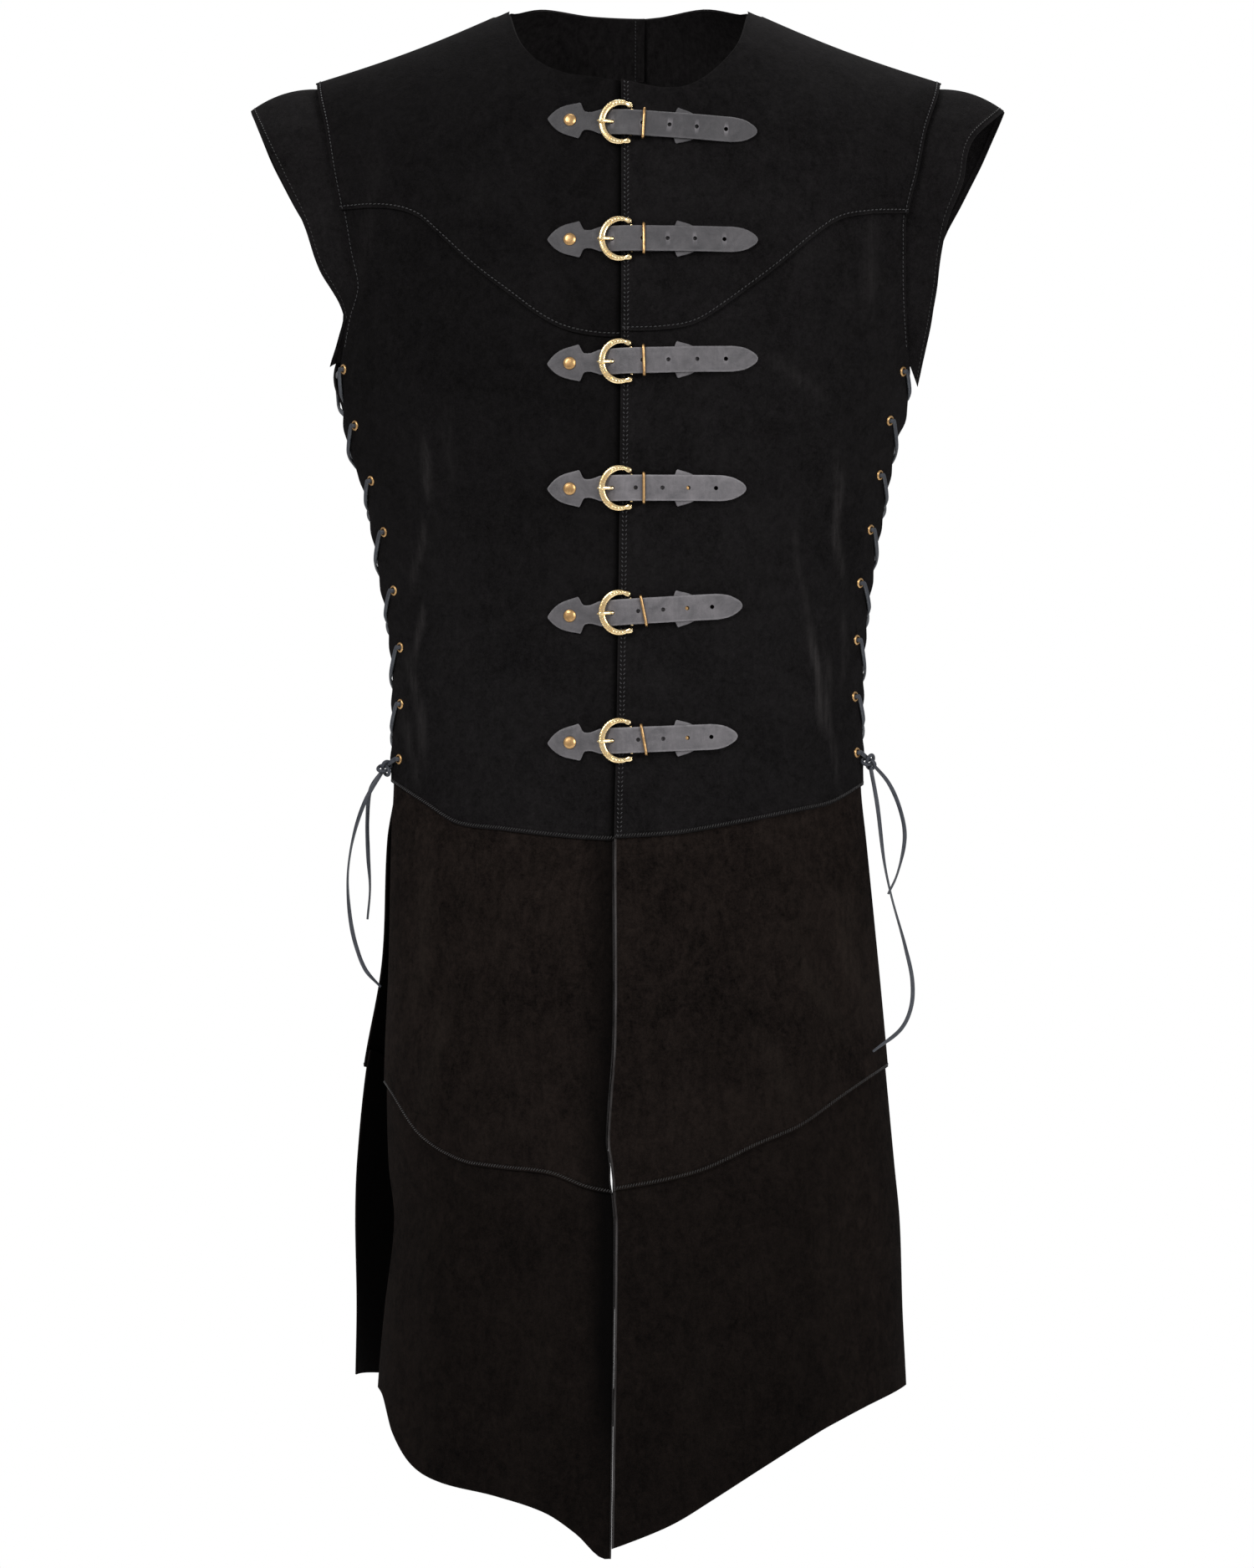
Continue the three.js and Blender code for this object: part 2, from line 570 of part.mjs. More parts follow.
// A closed wall over the cells of a grid that are kept
function wall(points, normals, layer, keep) {
  const outer = layer * LAYER;
  const rows = points.length;
  const columns = points[0].length;
  const positions = [];
  for (const offset of [outer, outer - WALL]) {
    for (let r = 0; r < rows; r += 1) {
      for (let c = 0; c < columns; c += 1) {
        positions.push(...points[r][c].clone().addScaledVector(normals[r][c], offset));
      }
    }
  }
  const outerAt = (r, c) => r * columns + c;
  const innerAt = (r, c) => rows * columns + r * columns + c;
  const index = [];
  const quad = (a, b, c, d) => index.push(a, b, c, a, c, d);
  const kept = (r, c) => r >= 0 && c >= 0 && r < rows - 1 && c < columns - 1 && keep(r, c);
  for (let r = 0; r < rows - 1; r += 1) {
    for (let c = 0; c < columns - 1; c += 1) {
      if (!kept(r, c)) continue;
      quad(outerAt(r, c), outerAt(r + 1, c), outerAt(r + 1, c + 1), outerAt(r, c + 1));
      quad(innerAt(r, c), innerAt(r, c + 1), innerAt(r + 1, c + 1), innerAt(r + 1, c));
      const sides = [
        { open: !kept(r - 1, c), from: [r, c + 1], to: [r, c] },
        { open: !kept(r + 1, c), from: [r + 1, c], to: [r + 1, c + 1] },
        { open: !kept(r, c - 1), from: [r, c], to: [r + 1, c] },
        { open: !kept(r, c + 1), from: [r + 1, c + 1], to: [r, c + 1] },
      ];
      for (const { open, from, to } of sides) {
        if (open) quad(outerAt(...to), outerAt(...from), innerAt(...from), innerAt(...to));
      }
    }
  }
  return closedGeometry(positions, index);
}

// Drops unused points and turns the faces outward
function closedGeometry(positions, index) {
  const geometry = new THREE.BufferGeometry();
  geometry.setAttribute('position', new THREE.Float32BufferAttribute(positions, 3));
  geometry.setIndex(index);
  if (signedVolume(geometry) < 0) {
    for (let i = 0; i < index.length; i += 3) [index[i], index[i + 1]] = [index[i + 1], index[i]];
    geometry.setIndex(index);
  }
  return mergeVertices(geometry.toNonIndexed(), 1e-4);
}

function signedVolume(geometry) {
  const position = geometry.getAttribute('position');
  const corners = [new THREE.Vector3(), new THREE.Vector3(), new THREE.Vector3()];
  let total = 0;
  for (let i = 0; i < geometry.index.count; i += 3) {
    corners.forEach((corner, k) => corner.fromBufferAttribute(position, geometry.index.getX(i + k)));
    total += corners[0].dot(corners[1].clone().cross(corners[2])) / 6;
  }
  return total;
}

function toSolid(geometry) {
  const bare = geometry.clone();
  bare.deleteAttribute('normal');
  bare.deleteAttribute('uv');
  const merged = mergeVertices(bare, 1e-4);
  return new wasm.Manifold(new wasm.Mesh({
    numProp: 3,
    vertProperties: new Float32Array(merged.getAttribute('position').array),
    triVerts: new Uint32Array(merged.index.array),
  }));
}

function fromSolid(solid) {
  const mesh = solid.getMesh();
  const geometry = new THREE.BufferGeometry();
  geometry.setAttribute('position', new THREE.Float32BufferAttribute(mesh.vertProperties, 3));
  geometry.setIndex(new THREE.Uint32BufferAttribute(mesh.triVerts, 1));
  return geometry;
}

// A tube through given points with its own radius at each, closed at both ends
// or, as a ring, closed on itself
function sweep(path, sides, ring = false) {
  const count = path.length;
  const tangents = path.map((station, i) => {
    const before = ring ? path[(i + count - 1) % count] : path[Math.max(i - 1, 0)];
    const after = ring ? path[(i + 1) % count] : path[Math.min(i + 1, count - 1)];
    const leaving = after.point.clone().sub(station.point).normalize();
    const coming = station.point.clone().sub(before.point).normalize();
    return leaving.add(coming).normalize();
  });
  let across = new THREE.Vector3(0, 1, 0);
  if (Math.abs(tangents[0].y) > 0.8) across = new THREE.Vector3(0, 0, 1);
  const positions = [];
  path.forEach((station, i) => {
    across.addScaledVector(tangents[i], -across.dot(tangents[i])).normalize();
    const other = tangents[i].clone().cross(across);
    for (let s = 0; s < sides; s += 1) {
      const angle = (2 * Math.PI * s) / sides;
      const spoke = across.clone().multiplyScalar(Math.cos(angle)).addScaledVector(other, Math.sin(angle));
      positions.push(...station.point.clone().addScaledVector(spoke, station.radius));
    }
  });
  const index = [];
  for (let i = 0; i < (ring ? count : count - 1); i += 1) {
    for (let s = 0; s < sides; s += 1) {
      const a = i * sides + s;
      const b = i * sides + ((s + 1) % sides);
      const c = ((i + 1) % count) * sides + s;
      const d = ((i + 1) % count) * sides + ((s + 1) % sides);
      index.push(a, b, d, a, d, c);
    }
  }
  if (!ring) {
    const last = (count - 1) * sides;
    for (let s = 1; s < sides - 1; s += 1) {
      index.push(0, s + 1, s);
      index.push(last, last + s, last + s + 1);
    }
  }
  return closedGeometry(positions, index);
}

// Panels

const quarters = {};
for (const half of ['front', 'back']) {
  for (const side of ['Right', 'Left']) quarters[half + side] = quarter(half, side);
}

// Walks over a panel at one height, from its side edge inwards, until stopped
function onPanel(half, side, z, stop) {
  const { points, normals } = quarters[half + side];
  let walked = 0;
  let from = null;
  for (let c = points[0].length - 1; c > 0; c -= 1) {
    let r = 0;
    while (points[r + 1][c].z > z) r += 1;
    const t = (points[r][c].z - z) / (points[r][c].z - points[r + 1][c].z);
    const to = {
      point: points[r][c].clone().lerp(points[r + 1][c], t),
      normal: normals[r][c].clone().lerp(normals[r + 1][c], t).normalize(),
    };
    if (from) {
      const length = from.point.distanceTo(to.point);
      const share = stop(from.point, to.point, walked, length);
      if (share <= 1) {
        return {
          point: from.point.lerp(to.point, share),
          normal: from.normal.lerp(to.normal, share).normalize(),
        };
      }
      walked += length;
    }
    from = to;
  }
  return from;
}

const atInset = (inset) => (from, to, walked, length) => (inset - walked) / length;
const atOut = (out) => (from, to) => (Math.abs(from.x) - out) / (Math.abs(from.x) - Math.abs(to.x));

function eyeletPlace(half, side, level) {
  const z = EYELETS[level][`${lower[side]}Z`];
  const stop = half === 'front' ? atOut(EYELETS[level][lower[side]]) : atInset(BACK_EYELET_INSET);
  return { ...onPanel(half, side, z, stop), z };
}

function punchEyelets(geometry, half, side) {
  let solid = toSolid(geometry);
  EYELETS.forEach((row, level) => {
    const { point, normal } = eyeletPlace(half, side, level);
    const punch = new THREE.CylinderGeometry(EYELET_HOLE, EYELET_HOLE, PUNCH_DEEP, PUNCH_SIDES);
    punch.applyQuaternion(new THREE.Quaternion().setFromUnitVectors(new THREE.Vector3(0, 1, 0), normal));
    punch.translate(...point);
    solid = solid.subtract(toSolid(punch));
  });
  return fromSolid(solid);
}

function addPanels({ half, side, points, normals }) {
  const plan = PLAN[half];
  const underlapped = side === 'Right' ? 0 : 1;
  const rows = (first, last) => (r, c) => r >= first && r < last && c >= 1;
  const body = wall(points, normals, 1, (r, c) => (
    r < plan.waist && c >= (r < plan.waist - 2 ? underlapped : 1)));
  const upper = wall(points, normals, 0, rows(plan.waist - 1, plan.seam));
  const hem = wall(points, normals, -1, rows(plan.seam - 1, plan.hem));
  addPiece(`${half}_body_${lower[side]}`, punchEyelets(body, half, side), SUEDE_BODY);
  addPiece(`${half}_skirt_${lower[side]}`, upper, SUEDE_SKIRT);
  addPiece(`${half}_hem_${lower[side]}`, hem, SUEDE_SKIRT);
  if (half === 'front') {
    addPiece(`yoke_${lower[side]}`, wall(points, normals, 2, rows(0, plan.yoke)), SUEDE_BODY);
  }
}

// Along the shoulder seam the front and the back stand a hair apart.
for (const grid of Object.values(quarters)) {
  grid.points[0].forEach((point, c) => {
    if (c >= NECK[grid.half].length) point.y = (halfSign[grid.half] * SHOULDER_GAP) / 2;
  });
  addPanels(grid);
}

// Sleeves: a strip from under the armhole edge out to the flared hem

function sleeve(side) {
  const stations = [];
  const frontEnd = side === 'Right' ? PLAN.front.underarm - 1 : PLAN.front.underarm;
  for (let r = frontEnd; r >= 0; r -= 1) stations.push({ half: 'front', row: r });
  for (let r = 1; r <= PLAN.back.underarm; r += 1) stations.push({ half: 'back', row: r });
  const columns = stations.map(({ half, row }) => {
    const line = quarters[half + side].points[row];
    const normal = quarters[half + side].normals[row][line.length - 1];
    const edge = line[line.length - 1].clone().addScaledVector(normal, -SLEEVE_UNDER);
    const tuck = line[line.length - 2].clone().sub(line[line.length - 1]).setLength(SLEEVE_SEAM);
    tuck.add(edge).addScaledVector(normal, -SLEEVE_UNDER);
    if (row === 0) {
      edge.y = 0;
      tuck.y = 0;
    }
    const rows = SLEEVE[half];
    const out = read(rows, 'z', lower[side], edge.z);
    const drop = read(rows, 'z', `${lower[side]}Drop`, edge.z);
    const inward = read(rows, 'z', 'inward', edge.z);
    const strip = [tuck, edge];
    for (let s = 1; s <= SLEEVE_CELLS; s += 1) {
      const t = s / SLEEVE_CELLS;
      const bulge = SLEEVE_BULGE * (out / SLEEVE_WIDEST) * 4 * t * (1 - t);
      strip.push(new THREE.Vector3(
        edge.x + sideSign[side] * (out * t + bulge * SLEEVE_LEAN),
        edge.y - halfSign[half] * inward * t,
        edge.z - drop * t + bulge,
      ));
    }
    return strip;
  });
  const points = columns[0].map((first, s) => columns.map((strip) => strip[s]));
  const normals = points.map((row, r) => row.map((point, c) => {
    const along = row[Math.min(c + 1, row.length - 1)].clone().sub(row[Math.max(c - 1, 0)]);
    const outFrom = points[Math.max(r - 1, 0)][c];
    const outTo = points[Math.min(r + 1, points.length - 1)][c];
    const normal = along.cross(outTo.clone().sub(outFrom)).normalize();
    return normal.multiplyScalar(-sideSign[side]);
  }));
  return wall(points, normals, 0, () => true);
}
addPiece('sleeve_right', sleeve('Right'), SUEDE_BODY);
addPiece('sleeve_left', sleeve('Left'), SUEDE_BODY);

// Lacing

// Around an eyelet the lace turns from one face of the panel to the other.
function eyeletTurn(half, side, level) {
  const { point, normal, z } = eyeletPlace(half, side, level);
  const edge = onPanel(half, side, z, atInset(0)).point;
  const toGap = edge.sub(point).normalize();
  const at = (gap, height) => point.clone().addScaledVector(toGap, gap).addScaledVector(normal, height);
  const over = LAYER + LACE_RADIUS + LACE_CLEAR;
  const under = LAYER - WALL - LACE_RADIUS - LACE_CLEAR;
  return [at(EYELET_TURN, over), at(0, LAYER - WALL / 2), at(EYELET_TURN, under)];
}

function edgeCrossing(half, side, z, outside) {
  const height = outside ? LAYER + LACE_RADIUS + LACE_CLEAR : LAYER - WALL - LACE_RADIUS - LACE_CLEAR;
  const { point, normal } = onPanel(half, side, z, atInset(0));
  return point.addScaledVector(normal, height);
}

// From an eyelet of one panel to the next higher or lower eyelet of the other.
// On the outside of a panel the lace hangs lower before it crosses the edge.
function crossGap(side, from, to, outsideFirst) {
  const startZ = EYELETS[from.level][`${lower[side]}Z`];
  const endZ = EYELETS[to.level][`${lower[side]}Z`];
  const leave = outsideFirst ? LACE_OUTER_DROP : LACE_INNER_RISE;
  const arrive = outsideFirst ? 1 - LACE_INNER_RISE : 1 - LACE_OUTER_DROP;
  const first = edgeCrossing(from.half, side, THREE.MathUtils.lerp(startZ, endZ, leave), outsideFirst);
  const last = edgeCrossing(to.half, side, THREE.MathUtils.lerp(startZ, endZ, arrive), !outsideFirst);
  const middle = first.clone().lerp(last, 0.5);
  middle.x += sideSign[side] * (outsideFirst ? -LACE_CROSS : LACE_CROSS);
  return [first, middle, last];
}

function knotPlace(side) {
  const z = EYELETS[EYELETS.length - 1][`${lower[side]}Z`] - KNOT_DROP;
  const { point, normal } = onPanel('front', side, z, atInset(0));
  return point.addScaledVector(normal, LAYER + KNOT_RADIUS + KNOT_CLEAR);
}

function lace(side) {
  const last = EYELETS.length - 1;
  const knot = knotPlace(side);
  const route = [knot];
  const halfAt = (level, odd) => ((level % 2 === 1) === odd ? 'front' : 'back');
  for (let level = last; level >= 0; level -= 1) {
    const half = halfAt(level, true);
    route.push(...eyeletTurn(half, side, level));
    if (level > 0) {
      const above = { half: halfAt(level - 1, true), level: level - 1 };
      route.push(...crossGap(side, { half, level }, above, false));
    }
  }
  const bar = edgeCrossing('back', side, EYELETS[0][`${lower[side]}Z`], false);
  const barFront = edgeCrossing('front', side, EYELETS[0][`${lower[side]}Z`], false);
  route.push(bar, barFront);
  for (let level = 0; level <= last; level += 1) {
    const half = halfAt(level, false);
    route.push(...eyeletTurn(half, side, level).reverse());
    if (level < last) {
      const below = { half: halfAt(level + 1, false), level: level + 1 };
      route.push(...crossGap(side, { half, level }, below, true));
    }
  }
  route.push(edgeCrossing('back', side, EYELETS[last][`${lower[side]}Z`] - LAST_CROSS_DROP, true));
  route.push(knot);
  const tube = toSolid(sweep(route.map((point) => ({ point, radius: LACE_RADIUS })), LACE_SIDES));
  const ball = new THREE.SphereGeometry(KNOT_RADIUS, 9, 6);
  ball.translate(...knot);
  return fromSolid(tube.add(toSolid(ball)));
}
addPiece('lace_right', lace('Right'), LACE_LEATHER);
addPiece('lace_left', lace('Left'), LACE_LEATHER);

for (const [name, places] of Object.entries(TAILS)) {
  const knot = knotPlace(name.startsWith('tail_right') ? 'Right' : 'Left');
  const points = places.map((place) => new THREE.Vector3(...place));
  points.unshift(points[0].clone().sub(knot).setLength(KNOT_RADIUS + TAIL_CLEAR).add(knot));
  const curve = new THREE.CatmullRomCurve3(points);
  const steps = Math.round(curve.getLength() / TAIL_STEP);
  const path = curve.getSpacedPoints(steps).map((point) => ({ point, radius: LACE_RADIUS }));
  addPiece(name, sweep(path, TAIL_SIDES), LACE_LEATHER);
}

// Buckle sets

// A point over the panels, by its place along and across a tilted strap
function overPanels(set, x, across, height) {
  const tilt = THREE.MathUtils.degToRad(set.tilt);
  const along = x - RIVET_X;
  const atX = RIVET_X + along * Math.cos(tilt) + across * Math.sin(tilt);
  const atZ = set.z - along * Math.sin(tilt) + across * Math.cos(tilt);
  const side = atX < 0 ? 'Right' : 'Left';
  const place = surface('front', side, Math.abs(atX), atZ, false);
  place.y -= set.layers * LAYER + height;
  return place;
}

// A flat band of leather that follows a height table
function band(set, stations, column, thick) {
  const count = stations.length;
  const positions = [];
  for (const extra of [thick, 0]) {
    for (const { x, half } of stations) {
      const height = readStraight(RISE, 'x', column, x) + extra;
      for (const across of [half, -half]) positions.push(...overPanels(set, x, across, height));
    }
  }
  const index = [];
  const top = (i, k) => i * 2 + k;
  const low = (i, k) => 2 * count + i * 2 + k;
  const quad = (a, b, c, d) => index.push(a, b, c, a, c, d);
  for (let i = 0; i < count - 1; i += 1) {
    quad(top(i, 0), top(i, 1), top(i + 1, 1), top(i + 1, 0));
    quad(low(i, 0), low(i + 1, 0), low(i + 1, 1), low(i, 1));
    quad(top(i, 0), top(i + 1, 0), low(i + 1, 0), low(i, 0));
    quad(top(i, 1), low(i, 1), low(i + 1, 1), top(i + 1, 1));
  }
  quad(top(0, 0), low(0, 0), low(0, 1), top(0, 1));
  quad(top(count - 1, 0), top(count - 1, 1), low(count - 1, 1), low(count - 1, 0));
  return closedGeometry(positions, index);
}

function addStrap(set, number) {
  const stations = ARROW.map((row) => ({ x: RIVET_X + row.along, half: row.half }));
  const straight = set.tip - FREE_TIP[0].back;
  for (const { x } of RISE) {
    const clear = x > stations[stations.length - 1].x + STATION_GAP && x < straight - TIP_GAP;
    if (clear) stations.push({ x, half: STRAP_HALF });
  }
  for (const row of FREE_TIP) stations.push({ x: set.tip - row.back, half: row.half });
  const slot = new THREE.BoxGeometry(SLOT.long, SLOT.deep, SLOT.tall);
  slot.translate(...overPanels(set, SLOT.x, 0, SLOT.height));
  const strap = toSolid(band(set, stations, 'strap', STRAP_THICK)).subtract(toSolid(slot));
  addPiece(`strap_${number}`, fromSolid(strap), STRAP_LEATHER);
}

function addTab(set, number) {
  const stations = [BAR_X + TAB_START, KEEPER_X, TAB_STRAIGHT].map((x) => ({ x, half: STRAP_HALF }));
  for (const { along, half } of [...ARROW].reverse()) {
    stations.push({ x: TAB_RIVET_X - along * TAB_ARROW, half });
  }
  addPiece(`base_tab_${number}`, band(set, stations, 'tab', TAB_THICK), STRAP_LEATHER);
}

function addBuckle(set, number) {
  const turn = THREE.MathUtils.degToRad(BUCKLE_TURN);
  const left = BUCKLE_X - BUCKLE_REACH;
  const path = [];
  for (let i = 0; i <= BUCKLE_STEPS; i += 1) {
    const angle = THREE.MathUtils.lerp(-turn, turn, i / BUCKLE_STEPS);
    const x = BUCKLE_X - BUCKLE_REACH * Math.cos(angle);
    const height = THREE.MathUtils.lerp(ARC_HEIGHT, BAR_HEIGHT, (x - left) / (BAR_X - left));
    const radius = THREE.MathUtils.lerp(BUCKLE_RADIUS, BUCKLE_END_RADIUS, Math.abs(angle / turn) ** 3);
    path.push({ point: overPanels(set, x, BUCKLE_HALF * Math.sin(angle), height), radius });
  }
  addPiece(`buckle_${number}`, sweep(path, PIN_SIDES, true), BRASS);
}

function addTongue(set, number) {
  const path = TONGUE.map(({ x, height }) => ({ point: overPanels(set, x, 0, height), radius: PIN_RADIUS }));
  addPiece(`tongue_${number}`, sweep(path, PIN_SIDES), BRASS);
}

function addKeeper(set, number) {
  const path = [];
  for (const [over, up] of [[1, 1], [-1, 1], [-1, -1], [1, -1]]) {
    const cut = [[0, KEEPER_CORNER], [KEEPER_CORNER, 0]];
    for (const [pullOver, pullUp] of over * up > 0 ? cut : cut.reverse()) {
      const across = over * (KEEPER_HALF - pullOver);
      const height = up > 0 ? KEEPER_HIGH - pullUp : KEEPER_LOW + pullUp;
      path.push({ point: overPanels(set, KEEPER_X - set.lean * across, across, height), radius: PIN_RADIUS });
    }
  }
  addPiece(`keeper_${number}`, sweep(path, PIN_SIDES, true), OLD_BRASS);
}

function addRivet(set, number) {
  const profile = RIVET_PROFILE.map(([x, y]) => new THREE.Vector2(x, y));
  const dome = new THREE.LatheGeometry(profile, RIVET_SIDES);
  const base = overPanels(set, RIVET_X, 0, RISE[0].strap + STRAP_THICK + RIVET_CLEAR);
  const outward = surfaceNormal('front', 'Right', -RIVET_X, set.z);
  dome.applyQuaternion(new THREE.Quaternion().setFromUnitVectors(new THREE.Vector3(0, 1, 0), outward));
  dome.translate(...base);
  addPiece(`rivet_${number}`, fromSolid(toSolid(dome)), OLD_BRASS);
}

SETS.forEach((set, i) => {
  addStrap(set, i + 1);
  addTab(set, i + 1);
  addBuckle(set, i + 1);
  addTongue(set, i + 1);
  addKeeper(set, i + 1);
  addRivet(set, i + 1);
});

export default part;
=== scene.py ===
"""Looks of a black suede tabard with six strap buckles down the front and laced sides.

Tables and lengths are in millimetres and are turned into metres where a mesh is made.
Front faces -Y, Z is up, and the wearer's left is +X.
"""

import math

import bpy
import numpy as np
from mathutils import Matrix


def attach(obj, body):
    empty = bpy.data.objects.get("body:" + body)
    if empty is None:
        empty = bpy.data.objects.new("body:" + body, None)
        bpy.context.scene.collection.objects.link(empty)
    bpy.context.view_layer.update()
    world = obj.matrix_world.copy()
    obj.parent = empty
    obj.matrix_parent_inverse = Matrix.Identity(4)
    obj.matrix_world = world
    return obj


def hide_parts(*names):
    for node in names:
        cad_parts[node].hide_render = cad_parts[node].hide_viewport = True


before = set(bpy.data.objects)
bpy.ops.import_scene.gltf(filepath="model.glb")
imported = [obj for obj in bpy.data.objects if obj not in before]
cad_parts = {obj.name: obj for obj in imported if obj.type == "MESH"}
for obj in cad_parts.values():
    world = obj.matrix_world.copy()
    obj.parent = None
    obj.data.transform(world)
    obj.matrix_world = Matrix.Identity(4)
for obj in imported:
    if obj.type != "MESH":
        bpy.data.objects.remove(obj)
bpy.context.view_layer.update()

MM = 0.001

# Camera
CAMERA_X = -1.2
CAMERA_Z = -530.7
CAMERA_DISTANCE = 3500
CAMERA_LENS = 112

# Leather
WALL = 1.6
LAYER = 2.1
LAP_LIFT = 2.6
LAP_FULL = 24
LAP_END = 60
UNDERLAP = 11.5
SEAM_LAP = 12
SHOULDER_GAP = 0.4

# Shoulders
NECK_OUT = 84.5
NECK_Z = 19.5
TIP_OUT = 222
TIP_Z = -32
SHOULDER_SAG = 3
CROWN_Z = 50
CROWN_ROUND = 100
FULLNESS = 2.1

# Heights
BLADE_Z = -127
UNDERARM_Z = -226

# Lacing
LACE_RADIUS = 1.5
LACE_CLEAR = 0.6
LACE_OUTER_DROP = 0.43
LACE_INNER_RISE = 0.17
LACE_CROSS = 2.2
BACK_EYELET_INSET = 12
KNOT_RADIUS = 4.2
KNOT_LOOSE = 5.2
TAIL_CLEAR = 0.2

# Buckle sets
RIVET_X = -41
STRAP_THICK = 2.2
TAB_THICK = 1.6
BAR_X = 1.8
BAR_HEIGHT = 5.4
ARC_HEIGHT = 5.5
KEEPER_X = 10.4
KEEPER_LOW = 3.7
KEEPER_HIGH = 10.2
KEEPER_HALF = 10.3
STRAP_HALF = 9
TAB_RIVET_X = 39.4
TAB_ARROW_SCALE = 0.87
HOLE_RADIUS = 1.5
SLOT_RADIUS = 1.6
SLOT_X = -11.5

SIDE_SIGN = {"right": -1, "left": 1}
HALF_SIGN = {"front": -1, "back": 1}


class Table:
    """A table with named columns, read as a smooth curve of its first column.

    Between two rows the curve is a cubic whose slope at each row is that of the
    chord between the row's neighbours. Past the ends it keeps the end value.
    """

    def __init__(self, columns, rows):
        values = np.array(rows, float)
        values = values[np.argsort(values[:, 0])]
        self.keys = values[:, 0]
        self.columns = dict(zip(columns.split()[1:], values[:, 1:].T))

    def read(self, column, at):
        keys, values = self.keys, self.columns[column]
        last = len(keys) - 1
        rows = np.arange(last + 1)
        low, high = np.maximum(rows - 1, 0), np.minimum(rows + 1, last)
        slopes = (values[high] - values[low]) / (keys[high] - keys[low])
        at = np.asarray(at, float)
        i = np.clip(np.searchsorted(keys, at), 1, last)
        span = keys[i] - keys[i - 1]
        t = np.clip((at - keys[i - 1]) / span, 0, 1)
        line = values[i - 1] + (values[i] - values[i - 1]) * t * t * (3 - 2 * t)
        return line + span * t * (1 - t) * (slopes[i - 1] * (1 - t) - slopes[i] * t)


SECTIONS = Table("z front_right front_left back_right back_left front_y back_y front back", [
    (40, 222, 222, 222, 222, 42, 50, 76, 98),
    (-29, 222, 222, 222, 222, 48, 54, 88, 104),
    (-68, 213, 209, 214, 212, 56, 60, 97, 108),
    (-99, 207, 202, 206, 203, 61, 63, 102, 110),
    (-127, 201, 195, 198, 195, 63, 62, 106, 112),
    (-155, 196, 194, 193, 192, 63, 56, 110, 113),
    (-180, 191, 194, 192, 191, 60, 46, 113, 113),
    (-203, 197, 195, 197, 192, 51, 34, 116, 113),
    (-236, 202, 197, 212, 194, 39, 20, 118, 112),
    (-265, 201, 196, 202, 193, 34, 16, 118, 110),
    (-290, 198, 188, 198, 188, 34, 16, 117, 108),
    (-320, 187, 182.5, 187, 183, 34, 16, 115, 106),
    (-380, 176, 172, 176, 172, 34, 16, 110, 101),
    (-440, 167, 165.5, 167, 166, 34, 16, 106, 98),
    (-530, 167, 165, 168, 165, 34, 15, 106, 98),
    (-571, 169, 169, 174, 168, 32, 13, 108, 101),
    (-660, 171, 178, 178, 176, 30, 11, 114, 108),
    (-735, 174, 185, 191, 182, 29, 10, 119, 114),
    (-800, 173, 191, 197.5, 187, 29, 10, 122, 117),
    (-842, 169, 195, 199, 189, 29, 10, 123, 119),
    (-905, 176, 197, 198, 191, 29, 10, 126, 121),
    (-965, 181, 200, 199, 194, 29, 10, 128, 123),
    (-1080, 186, 204, 200, 198, 29, 10, 132, 127),
])
CENTRE = {
    "front": Table("z x gap", [
        (40, -5.2, 0.8), (-225, -5.2, 0.8), (-480, -8, 0.8), (-571, -9.9, 0.8), (-705, -9.9, 0.8),
        (-777, -14.4, 0.8), (-795, -12.2, 0.8), (-806, -11, 2), (-818, -10.4, 0.8), (-840, -9, 0.8),
        (-1080, -12, 0.8),
    ]),
    "back": Table("z x gap", [(40, 9, 1.4), (-530, 0, 0.8), (-700, -8, 1), (-806, -12, 4), (-1080, -6, 2)]),
}
NECK = {
    "front": [
        (-41, 0, -40, 0), (-38.2, 23, -46, 24), (-34.6, 45, -42.6, 44), (-25, 63.5, -28.2, 63),
        (-8, 76.5, -8.5, 77), (NECK_Z, NECK_OUT, NECK_Z, NECK_OUT),
    ],
    "back": [
        (26.8, 0, 26.8, 0), (27.6, 26, 27.6, 22), (28.5, 60, 29.5, 54), (NECK_Z, NECK_OUT, NECK_Z, NECK_OUT),
    ],
}
YOKE_EDGE = Table("out right left", [
    (-12, -221, -217), (20, -220.5, -216.5), (43, -216, -212.5), (60, -207.5, -203), (80, -192.5, -188.5),
    (105, -172.5, -169), (130, -149, -147.5), (147, -134, -136), (169, -127, -131), (204, -126, -128),
])
BLADE_LINE = Table("out right left", [(-12, BLADE_Z, BLADE_Z), (204, BLADE_Z, BLADE_Z)])
WAIST = {
    "front": Table("out right left", [
        (-12, -570.5, -568.5), (30, -569, -566), (53, -567, -562.5), (88, -563, -556),
        (120, -558.5, -549.5), (143, -544.5, -544), (172, -526, -527),
    ]),
    "back": Table("out right left", [(-12, -562, -562), (100, -552, -552), (172, -528, -528)]),
}
SKIRT_SEAM = {
    "front": Table("out right left", [
        (-12, -817.5, -812.5), (27, -811.5, -805.5), (55, -801.5, -798), (90, -798, -782),
        (120, -793.5, -770), (148, -777.5, -752), (171, -747, -738.5), (186, -733, -731),
    ]),
    "back": Table("out right left", [(-12, -802, -802), (100, -784, -784), (194, -732, -732)]),
}
HEM = {
    "front": Table("out right left", [
        (-12, -1056, -1059), (17, -1066, -1048), (37, -1049, -1039), (59, -1035, -1026), (94, -1025, -1005),
        (135, -1018, -982), (155, -1008, -973), (169, -988, -967.5), (178, -962, -964.5), (200, -955, -958),
    ]),
    "back": Table("out right left", [
        (-12, -1010, -1010), (60, -1000, -1000), (120, -974, -974), (200, -955, -955),
    ]),
}
